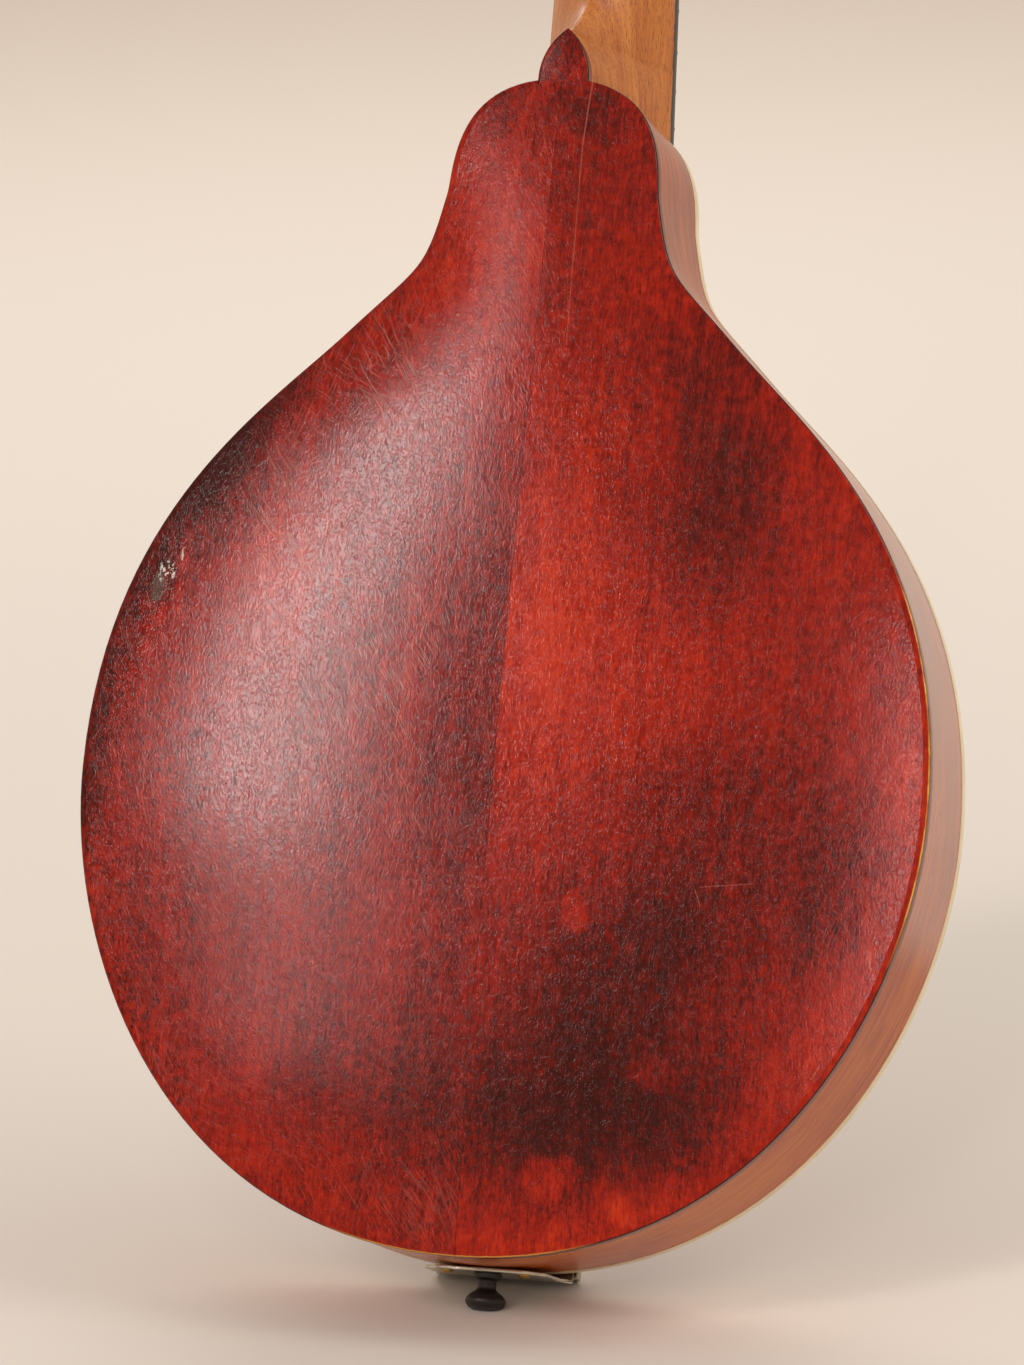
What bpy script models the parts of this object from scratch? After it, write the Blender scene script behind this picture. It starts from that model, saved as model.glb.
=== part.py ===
"""A-style mandolin with a carved top and back, as an assembly of separate pieces.

Frame: +Z runs up the neck, the soundboard faces -Y and the back faces +Y, so the
bass side is -X. The origin is at the tail end of the body, on the centreline and
halfway between the two faces of the rim.
"""
import math

import bmesh
import bpy
from mathutils import Matrix, Vector

MM = 0.001

# Clearances
FIT_GAP = 0.3 * MM            # between pieces that are glued, seated or screwed together
RUN_GAP = 0.3 * MM            # round a shaft that turns in its hole
STRING_GAP = 0.3 * MM         # under and beside a string where it is carried

# Body outline, half of it: distances from the centreline and from either end
BODY_LENGTH = 343.0 * MM
BODY_WIDTH = 250.6 * MM
WIDEST_HEIGHT = 134.5 * MM    # of the widest place above the tail
TAIL_ROUNDNESS = 87.2 * MM    # curve handle at the tail
BOUT_LOW_ROUNDNESS = 55.7 * MM
BOUT_HIGH_ROUNDNESS = 77.0 * MM
FLANK_WIDTH = 116.2 * MM      # where the outline runs straight towards the neck
FLANK_DROP = 77.6 * MM        # of that place below the neck end
FLANK_ANGLE = math.radians(43.8)
FLANK_LOW_ROUNDNESS = 31.6 * MM
FLANK_HIGH_ROUNDNESS = 30.2 * MM
SHOULDER_WIDTH = 63.4 * MM
SHOULDER_DROP = 35.0 * MM
SHOULDER_ANGLE = math.radians(11.3)
SHOULDER_LOW_ROUNDNESS = 25.1 * MM
SHOULDER_HIGH_ROUNDNESS = 6.6 * MM
NECK_END_ROUNDNESS = 33.1 * MM
OUTLINE_STEPS = (10, 8, 4, 7)  # points on each stretch of the half outline
ARCH_CENTRE_HEIGHT = 140.0 * MM
ARCH_ROUNDING = 1.5           # power by which contours turn from an egg shape to the outline

# Rim and plates
RIM_DEPTH = 43.5 * MM         # between the glued faces of the two plates
RIM_WALL = 2.5 * MM
PLATE_OVERHANG = 0.2 * MM      # the plates' edges are nearly flush with the rim
PLATE_EDGE = 4.5 * MM
EDGE_ROUNDING = 1.0 * MM
TOP_CROWN = 15.0 * MM         # top of the arch over the glued face
BACK_CROWN = 11.0 * MM
TOP_WALL = 4.0 * MM
TOP_FULLNESS = 2.2            # power of an arch's fall from its middle to its edge
TOP_HOLLOW_FULLNESS = 2.6
BACK_FULLNESS = 2.6
BACK_HOLLOW_FULLNESS = 3.0
BACK_WALL = 3.5 * MM
BINDING_WIDTH = 1.6 * MM
BINDING_HEIGHT = 3.2 * MM      # of the strip in the rabbet round the soundboard
LINING_WIDTH = 5.0 * MM
LINING_DEPTH = 7.0 * MM
LINING_FOOT = 2.0 * MM
NECK_BLOCK_LENGTH = 42.0 * MM
TAIL_BLOCK_LENGTH = 18.0 * MM
TAIL_BLOCK_WIDTH = 58.0 * MM
BLOCK_STEP = 1.0 * MM         # chamfer of a block's inner face beside the linings
BUTTON_WIDTH = 15.2 * MM      # heel button, part of the back plate
BUTTON_LENGTH = 15.2 * MM
BUTTON_DROP = 0.3 * MM        # of its face below the plate's edge face
BUTTON_STEPS = 6
HOLE_WIDTH = 56.0 * MM        # oval sound hole
HOLE_HEIGHT = 42.0 * MM
HOLE_DROP = 4.0 * MM          # below the end of the fingerboard
HOLE_SIDES = 28
TONE_BAR_LENGTH = 150.0 * MM
TONE_BAR_WIDTH = 6.0 * MM
TONE_BAR_DEPTH = 9.0 * MM
TONE_BAR_DROP = 12.0 * MM     # below the sound hole

# Scale, fingerboard and nut
SCALE_LENGTH = 353.0 * MM
BODY_FRET = 11                # fret that stands over the end of the body
FRET_COUNT = 20
FRET_WIDTH = 1.3 * MM
FRET_CROWN = 0.7 * MM
FRET_HEIGHT = 1.0 * MM
NECK_ANGLE = math.radians(5.0)
BOARD_THICKNESS = 4.8 * MM
BOARD_LIFT = 0.55 * MM        # of its underside over the plate's edge face
BOARD_END = 4.0 * MM          # past the last fret
BOARD_NUT_WIDTH = 29.5 * MM
BOARD_BODY_WIDTH = 39.4 * MM
NUT_THICKNESS = 4.5 * MM
NUT_RELIEF = 0.5 * MM         # string over the first fret's height at the nut
ACTION = 1.8 * MM             # string over the twelfth fret

# Neck
HEEL_RIDGE = ((0.4, 0.0), (5.4, 8.0), (9.9, 13.1), (14.0, 16.6), (24.8, 22.1))
HEEL_RIDGE_WIDTH = 0.8 * MM
SHAFT_START = 40.0 * MM       # above the button's tip
NECK_DEPTH_BODY = 22.8 * MM   # with the fingerboard, where the heel ends
NECK_DEPTH_NUT = 20.5 * MM
TENON_WIDTH = 16.0 * MM
TENON_FLARE = 3.0 * MM
TENON_LENGTH = 20.0 * MM
TENON_BACK = 9.0 * MM         # short of the back plate
TENON_ROOT = 6.0 * MM         # of the dovetail inside the heel
NECK_FOOT = 8.0 * MM          # of the heel's blank below the end of the body

# Headstock
HEAD_ANGLE = math.radians(19.0)
HEAD_LENGTH = 150.0 * MM
HEAD_THICKNESS = 14.5 * MM
HEAD_VENEER = 1.8 * MM
HEAD_SIDE = ((-14.0, 14.6), (3.0, 15.4), (9.0, 17.8), (15.0, 23.0), (21.0, 28.2), (27.0, 30.0))
HEAD_TOP_HALF = 36.5 * MM
HEAD_TOP_START = 124.0 * MM
HEAD_TOP_RISE = 26.0 * MM
HEAD_CORNER = 7.0 * MM
VOLUTE_LENGTH = 16.0 * MM     # where the shaft's round back fades into the headstock
VOLUTE_SINK = 0.5 * MM
VOLUTE_NARROWING = 0.75

# Tuners
POST_ROW_X = 18.5 * MM
POST_ROW_FLARE = 0.0875
POST_FIRST = 34.0 * MM
POST_PITCH = 23.0 * MM
POST_RADIUS = 3.0 * MM
POST_WAIST = 2.3 * MM
POST_HEIGHT = 12.5 * MM       # over the veneer
POST_CHAMFER = 0.8 * MM
POST_TAIL = 0.6 * MM          # past the gear
WRAP_HEIGHT = 6.3 * MM
WRAP_SPAN = 3.4 * MM
PLATE_THICKNESS = 1.2 * MM
PLATE_WIDTH = 13.4 * MM
PLATE_MARGIN = 9.0 * MM
PLATE_CORNER = 2.5 * MM
GEAR_TEETH = 14
GEAR_MODULE = 0.75 * MM
GEAR_THICKNESS = 2.6 * MM
GEAR_HUB = 2.0 * MM
TOOTH_TIP_HALF = 0.25 * MM    # half of a tooth's width at its tip and at its root
TOOTH_ROOT_HALF = 0.6 * MM
WORM_TIP = 3.0 * MM
WORM_PITCH = 2.5 * MM         # radius where it meets the gear
WORM_ROOT = 1.85 * MM
WORM_SLOPE = 2.2 * MM         # radius one step down either flank of the thread
WORM_COLLAR = 2.1 * MM        # radius beside the thread
WORM_TURNS = 2
WORM_SIDES = 6
WORM_HEIGHT = 3.6 * MM        # of its axis over the tuner plate
SHAFT_RADIUS = 1.5 * MM
LUG_OFFSET = 5.5 * MM
LUG_WIDTH = 6.4 * MM
LUG_WALL = 1.4 * MM           # of a lug over its shaft
KNOB_START = 12.5 * MM        # from the post row outwards
KNOB_LENGTH = 12.5 * MM
KNOB_WIDTH = 13.0 * MM
KNOB_THICKNESS = 7.0 * MM
KNOB_NECK_RADIUS = 2.6 * MM
KNOB_COLLAR_WIDTH = 6.0 * MM
KNOB_COLLAR_THICKNESS = 5.6 * MM
KNOB_SIDES = 10
ROUND_SIDES = 8

# Strings, two to a course from the bass side
STRING_DIAMETERS = (1.02 * MM, 0.66 * MM, 0.38 * MM, 0.28 * MM)
WOUND_COURSES = 2             # courses from the bass side whose strings are wound
NUT_COURSES = 7.87 * MM       # between course centres
NUT_PAIR = 2.0 * MM
BRIDGE_COURSES = 12.7 * MM
BRIDGE_PAIR = 2.6 * MM

# Bridge
BRIDGE_LENGTH = 114.0 * MM
BRIDGE_WIDTH = 8.0 * MM
BRIDGE_LEDGE = 6.5 * MM       # of the base over the crown
BRIDGE_TIP = 3.0 * MM
BRIDGE_RELIEF = 2.0 * MM
BRIDGE_FOOT = 25.0 * MM
BRIDGE_TIP_RUN = 7.0 * MM     # from a tip to the full height of its slope
BRIDGE_FOOT_END = 4.0 * MM    # flat length of a foot's inner end
BRIDGE_RELIEF_RUN = 6.0 * MM  # over which the hollow between the feet opens
SADDLE_MARGIN = 1.5 * MM      # of the base's flat ledge past the saddle
CREST_MARGIN = 3.0 * MM       # of the saddle's crest past the outer strings
NOTCH_DEPTH = 0.25 * MM       # more room under a string that crosses the saddle aslant
SADDLE_LENGTH = 66.0 * MM
SADDLE_FOOT = 6.0 * MM
SADDLE_TOP = 3.0 * MM

# Tailpiece and end pin
TAIL_LIFT = 3.0 * MM          # over the plate's edge face
TAIL_SHEET = 1.0 * MM
TAIL_WIDTH = 41.0 * MM
TAIL_REACH = 46.0 * MM
TAIL_FLANGE_WIDTH = 36.0 * MM
TAIL_FLANGE_END = 8.0 * MM    # past the pin's centre
TAIL_FLANGE_TIP = 25.0 * MM   # width of the flange's rounded end
TAIL_FLANGE_ROUND = 3.0 * MM  # past the pin's centre, where that rounding starts
TAIL_FLANGE_TOP = 2.0 * MM    # under the plate's edge face, where it widens to the sheet
TAIL_BEND = 1.2 * MM          # size of the bend over the tail, and of its drop and inside
TAIL_BEND_DROP = 0.8 * MM
TAIL_BEND_INSIDE = 0.2 * MM
HOOK_HEIGHT = 2.6 * MM        # of the string over the sheet
HOOK_TOP = 4.2 * MM
HOOK_RADIUS = 0.8 * MM
HOOK_PITCH = 5.0 * MM
HOOK_PLACE = 38.0 * MM
COVER_SHEET = 0.8 * MM
COVER_HEIGHT = 8.4 * MM
COVER_LENGTH = 50.0 * MM
COVER_LIP = 1.6 * MM
COVER_CHAMFER = 4.0 * MM
COVER_END_CLEAR = 6.0 * MM
PIN_OFFSET = 11.0 * MM        # in front of the middle of the rim
PIN_KNOB_RADIUS = 5.9 * MM
PIN_NECK_RADIUS = 2.8 * MM
PIN_COLLAR_RADIUS = 4.2 * MM
PIN_SHANK_RADIUS = 3.4 * MM
PIN_SHANK_END_RADIUS = 2.9 * MM
PIN_REACH = 12.0 * MM         # of its end face below the body
PIN_FACE_RADIUS = 3.4 * MM
PIN_SHANK = 15.0 * MM
PIN_FACE_DROP = 0.9 * MM      # of the knob's edge behind its face
PIN_KNOB_PLACE = 2.6 * MM     # of its widest place
PIN_KNOB_BACK = 4.4 * MM
PIN_NECK_PLACE = 6.0 * MM
PIN_COLLAR_WIDTH = 1.2 * MM
PIN_COLLAR_SLOPE = 0.7 * MM
PIN_SIDES = 12

HALF_DEPTH = RIM_DEPTH / 2
HALF_WIDTH = BODY_WIDTH / 2
NUT_HEIGHT = BODY_LENGTH + SCALE_LENGTH * (1 - 2 ** (-BODY_FRET / 12))
BRIDGE_HEIGHT = NUT_HEIGHT - SCALE_LENGTH
BOARD_FOOT = NUT_HEIGHT - SCALE_LENGTH * (1 - 2 ** (-FRET_COUNT / 12)) - BOARD_END
HOLE_CENTRE = BOARD_FOOT - HOLE_DROP - HOLE_HEIGHT / 2
GLUE_SCALE = 1 - (PLATE_OVERHANG + RIM_WALL + FIT_GAP + LINING_WIDTH) / HALF_WIDTH
INNER_RINGS = (0.35, 0.6, 0.8, GLUE_SCALE)
OUTER_RINGS = (GLUE_SCALE, 0.82, 0.68, 0.5, 0.3)
FRONT_EDGE = HALF_DEPTH + PLATE_EDGE
BUTTON_RADIUS = (BUTTON_LENGTH ** 2 + (BUTTON_WIDTH / 2) ** 2) / BUTTON_WIDTH  # of its two arcs
BOARD_UNDER = FRONT_EDGE + BOARD_LIFT
TUNER_SIDES = {"bass": -1, "treble": 1}
COURSES = ("g", "d", "a", "e")


# Scene and mesh helpers


def clear_scene():
    """Remove every object, so that the script builds the same scene each time."""
    for item in list(bpy.data.objects):
        bpy.data.objects.remove(item, do_unlink=True)


def finish_material(name, colour, roughness, metallic=0.0):
    """Return a Principled material with one colour, roughness and metallic value."""
    material = bpy.data.materials.new(name)
    material.use_nodes = True
    shader = material.node_tree.nodes["Principled BSDF"]
    shader.inputs["Base Color"].default_value = (*colour, 1.0)
    shader.inputs["Roughness"].default_value = roughness
    shader.inputs["Metallic"].default_value = metallic
    material.diffuse_color = (*colour, 1.0)
    return material


def skin(rings, start_pole=None, end_pole=None):
    """Return vertices and faces of a closed surface through rings of equal length."""
    count = len(rings[0])
    verts = [point for ring in rings for point in ring]
    faces = []
    for level in range(len(rings) - 1):
        low = level * count
        for i in range(count):
            j = (i + 1) % count
            faces.append((low + i, low + j, low + count + j, low + count + i))
    last = (len(rings) - 1) * count
    for first, pole in ((0, start_pole), (last, end_pole)):
        if pole is None:
            faces.append(tuple(range(first, first + count)))
            continue
        verts.append(pole)
        faces.extend((first + i, first + (i + 1) % count, len(verts) - 1) for i in range(count))
    return verts, faces


def make_piece(name, shape, material=None, place=None, sharp=35.0):
    """Make an object from vertices and faces, with its faces turned outwards."""
    verts, faces = shape
    mesh = bpy.data.meshes.new(name)
    work = bmesh.new()
    corners = [work.verts.new(vert) for vert in verts]
    for face in faces:
        work.faces.new([corners[i] for i in face])
    bmesh.ops.recalc_face_normals(work, faces=work.faces[:])
    work.to_mesh(mesh)
    work.free()
    mesh.shade_smooth()
    mesh.set_sharp_from_angle(angle=math.radians(sharp))
    piece = bpy.data.objects.new(name, mesh)
    bpy.context.scene.collection.objects.link(piece)
    if place is not None:
        piece.matrix_world = place
    if material is not None:
        mesh.materials.append(material)
    return piece


def join_shapes(shapes):
    """Return several closed shapes as one list of vertices and one of faces."""
    verts, faces = [], []
    for more_verts, more_faces in shapes:
        start = len(verts)
        verts.extend(more_verts)
        faces.extend(tuple(start + i for i in face) for face in more_faces)
    return verts, faces


def combine(piece, operation, name, shape, place=None):
    """Cut a shape from a piece, or fuse it on, with a Boolean and its hidden tool."""
    tool = make_piece(name, shape, place=place)
    tool.hide_render = True
    tool.display_type = "WIRE"
    boolean = piece.modifiers.new(name, "BOOLEAN")
    boolean.operation = operation
    boolean.solver = "EXACT"
    boolean.object = tool


def extrude(points, low, high, place):
    """Return a prism: flat points carried from low to high by the place function."""
    return skin([[place(a, b, low) for a, b in points], [place(a, b, high) for a, b in points]])


def round_bar(sides, stations, axis=2):
    """Return a turned shape from (distance, radius) stations along a local axis."""
    rings = []
    for distance, radius in stations:
        ring = []
        for i in range(sides):
            angle = math.tau * i / sides
            point = [radius * math.cos(angle), radius * math.sin(angle)]
            point.insert(axis, distance)
            ring.append(Vector(point))
        rings.append(ring)
    return skin(rings)


def hole_radius(radius, clearance, sides=ROUND_SIDES):
    """Return the corner radius of a hole whose flats clear a round of this radius."""
    return (radius + clearance) / math.cos(math.pi / sides)


def box_shape(low, high):
    """Return a box between two corners."""
    ring = [(low[0], low[1]), (high[0], low[1]), (high[0], high[1]), (low[0], high[1])]
    return skin([[Vector((x, y, z)) for x, y in ring] for z in (low[2], high[2])])


# Body outline and arches


def curve_span(start, start_handle, end_handle, end, steps):
    """Return (point, tangent) pairs along one curve, without its end."""
    pairs = []
    for i in range(steps):
        t = i / steps
        s = 1 - t
        point = s ** 3 * start + 3 * s * s * t * start_handle + 3 * s * t * t * end_handle + t ** 3 * end
        tangent = (s * s * (start_handle - start) + 2 * s * t * (end_handle - start_handle)
                   + t * t * (end - end_handle))
        pairs.append((point, tangent.normalized()))
    return pairs


def half_outline(steps):
    """Return (point, tangent) pairs from the tail up to the neck end, as (x, z)."""
    tail = Vector((0, 0))
    widest = Vector((HALF_WIDTH, WIDEST_HEIGHT))
    flank = Vector((FLANK_WIDTH / 2, BODY_LENGTH - FLANK_DROP))
    shoulder = Vector((SHOULDER_WIDTH / 2, BODY_LENGTH - SHOULDER_DROP))
    top = Vector((0, BODY_LENGTH))
    flank_way = Vector((-math.sin(FLANK_ANGLE), math.cos(FLANK_ANGLE)))
    shoulder_way = Vector((-math.sin(SHOULDER_ANGLE), math.cos(SHOULDER_ANGLE)))
    across, up = Vector((1, 0)), Vector((0, 1))
    pairs = curve_span(tail, tail + across * TAIL_ROUNDNESS,
                       widest - up * BOUT_LOW_ROUNDNESS, widest, steps[0])
    pairs += curve_span(widest, widest + up * BOUT_HIGH_ROUNDNESS,
                        flank - flank_way * FLANK_LOW_ROUNDNESS, flank, steps[1])
    pairs += curve_span(flank, flank + flank_way * FLANK_HIGH_ROUNDNESS,
                        shoulder - shoulder_way * SHOULDER_LOW_ROUNDNESS, shoulder, steps[2])
    pairs += curve_span(shoulder, shoulder + shoulder_way * SHOULDER_HIGH_ROUNDNESS,
                        top + across * NECK_END_ROUNDNESS, top, steps[3])
    return pairs + [(top, -across)]


def outline(inset=0.0, steps=OUTLINE_STEPS):
    """Return the body outline as (x, z) points, moved inwards by inset."""
    right = [point + Vector((-tangent.y, tangent.x)) * inset for point, tangent in half_outline(steps)]
    left = [Vector((-point.x, point.y)) for point in right[-2:0:-1]]
    return right + left


FINE_OUTLINE = outline(steps=(24, 20, 10, 18))


def egg_share(way):
    """Return a point's distance from the arch's middle as a share of an egg shape's reach."""
    tall = BODY_LENGTH - ARCH_CENTRE_HEIGHT if way.y > 0 else ARCH_CENTRE_HEIGHT
    return math.hypot(way.x / HALF_WIDTH, way.y / tall)


def outline_share(way):
    """Return a point's distance from the arch's middle as a share of the outline's reach."""
    reach = 0.0
    for i, first in enumerate(FINE_OUTLINE):
        a = first - Vector((0, ARCH_CENTRE_HEIGHT))
        b = FINE_OUTLINE[(i + 1) % len(FINE_OUTLINE)] - Vector((0, ARCH_CENTRE_HEIGHT))
        edge = b - a
        turn = way.x * edge.y - way.y * edge.x
        if abs(turn) < 1e-12:
            continue
        along = (a.x * edge.y - a.y * edge.x) / turn
        share = (a.x * way.y - a.y * way.x) / turn
        if along > 0 and -1e-6 <= share <= 1 + 1e-6:
            reach = max(reach, along)
    return 1.0 / reach


def contour_share(scale, slimness):
    """Return a contour's reach over the outline's: an egg shape inside, the outline at the rim."""
    turn = min(1.0, scale / GLUE_SCALE) ** ARCH_ROUNDING
    return scale * (turn + (1 - turn) * slimness)


def arch_rise(scale, fullness):
    """Return 1 at the middle of an arch and 0 at its edge."""
    return 1 - min(scale, 1.0) ** fullness


def between_rings(x, z, rings, rise):
    """Return a plate's rise over a place, straight from one of its rings to the next."""
    way = Vector((x, z - ARCH_CENTRE_HEIGHT))
    if way.length < 1e-9:
        return rise(0.0)
    share = outline_share(way)
    slimness = share / egg_share(way)
    stops = [0.0] + sorted(rings) + [1.0]
    for low, high in zip(stops, stops[1:]):
        start, end = contour_share(low, slimness), contour_share(high, slimness)
        if share <= end:
            return rise(low) + (rise(high) - rise(low)) * (share - start) / (end - start)
    return rise(1.0)


def top_outer(x, z):
    """Return the soundboard's outer height over its glued face."""
    share = between_rings(x, z, OUTER_RINGS, lambda scale: arch_rise(scale, TOP_FULLNESS))
    return PLATE_EDGE + (TOP_CROWN - PLATE_EDGE) * share


def top_inner(x, z):
    """Return the soundboard's inner height over its glued face."""
    share = between_rings(x, z, INNER_RINGS,
                          lambda scale: arch_rise(scale / GLUE_SCALE, TOP_HOLLOW_FULLNESS))
    return (TOP_CROWN - TOP_WALL) * share


def ring_at(level, facing, inset=0.0):
    """Return the outline as a ring at a height from the rim's middle."""
    return [Vector((p.x, facing * level, p.y)) for p in outline(inset)]


def contour_ring(scale, level, facing):
    """Return one contour of an arch as a ring at a height from the rim's middle."""
    centre = Vector((0, ARCH_CENTRE_HEIGHT))
    points = [centre + (p - centre) * contour_share(scale, 1 / egg_share(p - centre)) for p in outline()]
    return [Vector((p.x, facing * level, p.y)) for p in points]


def plate_shape(facing, crown, wall, fullness, hollow_fullness, edge_rings):
    """Return a carved plate: arched outside, hollowed inside, flat where it is glued."""
    inner_rise = crown - wall
    outer_rise = crown - PLATE_EDGE
    rings = []
    for scale in INNER_RINGS:
        rise = inner_rise * arch_rise(scale / GLUE_SCALE, hollow_fullness)
        rings.append(contour_ring(scale, HALF_DEPTH + rise, facing))
    rings += edge_rings
    for scale in OUTER_RINGS:
        rise = outer_rise * arch_rise(scale, fullness)
        rings.append(contour_ring(scale, FRONT_EDGE + rise, facing))
    inner_pole = Vector((0, facing * (HALF_DEPTH + inner_rise), ARCH_CENTRE_HEIGHT))
    outer_pole = Vector((0, facing * (HALF_DEPTH + crown), ARCH_CENTRE_HEIGHT))
    return skin(rings, inner_pole, outer_pole)


def make_soundboard(material):
    """Carve the soundboard, with its oval hole and the seat of the fingerboard."""
    rabbet, step = BINDING_WIDTH + FIT_GAP, FRONT_EDGE - BINDING_HEIGHT - FIT_GAP
    edge = [ring_at(HALF_DEPTH, -1), ring_at(step, -1),
            ring_at(step, -1, rabbet), ring_at(FRONT_EDGE, -1, rabbet)]
    shape = plate_shape(-1, TOP_CROWN, TOP_WALL, TOP_FULLNESS, TOP_HOLLOW_FULLNESS, edge)
    board = make_piece("soundboard", shape, material)
    oval = []
    for i in range(HOLE_SIDES):
        angle = math.tau * i / HOLE_SIDES
        oval.append((HOLE_WIDTH / 2 * math.cos(angle), HOLE_CENTRE + HOLE_HEIGHT / 2 * math.sin(angle)))
    combine(board, "DIFFERENCE", "sound_hole_cutter",
            extrude(oval, -HALF_DEPTH - 2 * TOP_CROWN, -HALF_DEPTH + TOP_CROWN,
                    lambda x, z, y: Vector((x, y, z))))
    combine(board, "DIFFERENCE", "board_seat_cutter", board_blank(FIT_GAP))
    return board


def make_back_plate(material):
    """Carve the back plate with the heel button in one piece."""
    edge = [ring_at(HALF_DEPTH, 1),
            ring_at(FRONT_EDGE - EDGE_ROUNDING, 1),
            ring_at(FRONT_EDGE, 1, EDGE_ROUNDING)]
    shape = plate_shape(1, BACK_CROWN, BACK_WALL, BACK_FULLNESS, BACK_HOLLOW_FULLNESS, edge)
    plate = make_piece("back_plate", shape, material)
    arch = button_arch()
    root = BODY_LENGTH - 2 * BUTTON_WIDTH / 3
    points = [(-BUTTON_WIDTH / 2, root)] + [(-x, z) for x, z in arch]
    points += [(x, z) for x, z in reversed(arch[:-1])] + [(BUTTON_WIDTH / 2, root)]
    combine(plate, "UNION", "heel_button", extrude(points, HALF_DEPTH, FRONT_EDGE - BUTTON_DROP,
                                                   lambda x, z, y: Vector((x, y, z))))
    return plate


def button_arch():
    """Return the pointed arch of the heel button from its root to its tip, as (x, z)."""
    points = []
    for i in range(BUTTON_STEPS + 1):
        angle = math.asin(BUTTON_LENGTH / BUTTON_RADIUS) * i / BUTTON_STEPS
        half = BUTTON_RADIUS * math.cos(angle) - (BUTTON_RADIUS - BUTTON_WIDTH / 2)
        points.append((max(0.0, half), BODY_LENGTH + BUTTON_RADIUS * math.sin(angle)))
    return points


def button_half_width(z):
    """Return the half width of the heel under the button at a height."""
    climb = min(BUTTON_LENGTH, max(0.0, z - BODY_LENGTH))
    half = math.sqrt(BUTTON_RADIUS ** 2 - climb ** 2) - (BUTTON_RADIUS - BUTTON_WIDTH / 2)
    return max(HEEL_RIDGE_WIDTH / 2, half)


# Rim, linings, blocks and brace


def ring_band(sections, facing=1):
    """Return a closed band round the body from (level, inset) corners of its section."""
    rings = [ring_at(level, facing, inset) for level, inset in sections]
    count = len(rings[0])
    verts = [point for ring in rings for point in ring]
    faces = []
    for level in range(len(rings)):
        low = level * count
        high = (level + 1) % len(rings) * count
        faces += [(low + i, low + (i + 1) % count, high + (i + 1) % count, high + i) for i in range(count)]
    return verts, faces


def make_rim(material):
    """Bend the rim, open in front for the neck's dovetail and bored for the end pin."""
    edge = HALF_DEPTH - FIT_GAP
    outer = PLATE_OVERHANG
    inner = PLATE_OVERHANG + RIM_WALL
    sections = ((-edge, outer), (edge, outer), (edge, inner), (-edge, inner))
    rim = make_piece("rim", ring_band(sections), material)
    combine(rim, "DIFFERENCE", "rim_mortise_cutter", tenon_shape(FIT_GAP, TENON_LENGTH))
    combine(rim, "DIFFERENCE", "rim_pin_cutter", pin_bore())
    return rim


def make_lining(name, facing, material):
    """Glue a lining strip along one edge of the rim."""
    outer = PLATE_OVERHANG + RIM_WALL + FIT_GAP
    inner = outer + LINING_WIDTH - FIT_GAP
    face = HALF_DEPTH - FIT_GAP
    sections = ((face, outer), (face, inner), (face - LINING_FOOT, inner), (face - LINING_DEPTH, outer))
    lining = make_piece(name, ring_band(sections, facing), material)
    if facing < 0:
        combine(lining, "DIFFERENCE", "lining_mortise_cutter", tenon_shape(FIT_GAP, TENON_LENGTH))
    return lining


def make_binding(material):
    """Lay the binding strip into the rabbet round the soundboard."""
    low, high = FRONT_EDGE - BINDING_HEIGHT, FRONT_EDGE
    sections = ((low, 0.0), (high, 0.0), (high, BINDING_WIDTH), (low, BINDING_WIDTH))
    return make_piece("top_binding", ring_band(sections, -1), material)


def block_shape(keep, flat_z, step_z):
    """Return a block inside the rim, stepped to pass the two linings."""
    at_rim = outline(PLATE_OVERHANG + RIM_WALL + FIT_GAP)
    at_lining = outline(PLATE_OVERHANG + RIM_WALL + FIT_GAP + LINING_WIDTH)
    chosen = [i for i, point in enumerate(at_rim) if keep(point)]
    start = next(i for i in chosen if (i - 1) % len(at_rim) not in chosen)
    order = [(start + k) % len(at_rim) for k in range(len(chosen))]
    face = HALF_DEPTH - FIT_GAP
    step = face - LINING_DEPTH - FIT_GAP
    rings = []
    sections = ((-face, at_lining, step_z), (-step, at_lining, step_z), (-step, at_rim, flat_z),
                (step, at_rim, flat_z), (step, at_lining, step_z), (face, at_lining, step_z))
    for level, line, end_z in sections:
        points = [line[i] for i in order]
        points += [Vector((points[-1].x, end_z)), Vector((points[0].x, end_z))]
        rings.append([Vector((p.x, level, p.y)) for p in points])
    return skin(rings)


def make_neck_block(material):
    """Set the block that takes the neck's dovetail."""
    flat = BODY_LENGTH - NECK_BLOCK_LENGTH
    block = make_piece("neck_block", block_shape(
        lambda p: p.y > flat + 2 * BLOCK_STEP, flat, flat + BLOCK_STEP), material)
    combine(block, "DIFFERENCE", "block_mortise_cutter", tenon_shape(FIT_GAP, TENON_LENGTH))
    return block


def make_tail_block(material):
    """Set the block that holds the end pin and the tailpiece screws."""
    half = TAIL_BLOCK_WIDTH / 2
    block = make_piece("tail_block", block_shape(
        lambda p: abs(p.x) < half and p.y < BODY_LENGTH / 2,
        TAIL_BLOCK_LENGTH, TAIL_BLOCK_LENGTH - BLOCK_STEP), material)
    combine(block, "DIFFERENCE", "block_pin_cutter", pin_bore())
    return block


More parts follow.
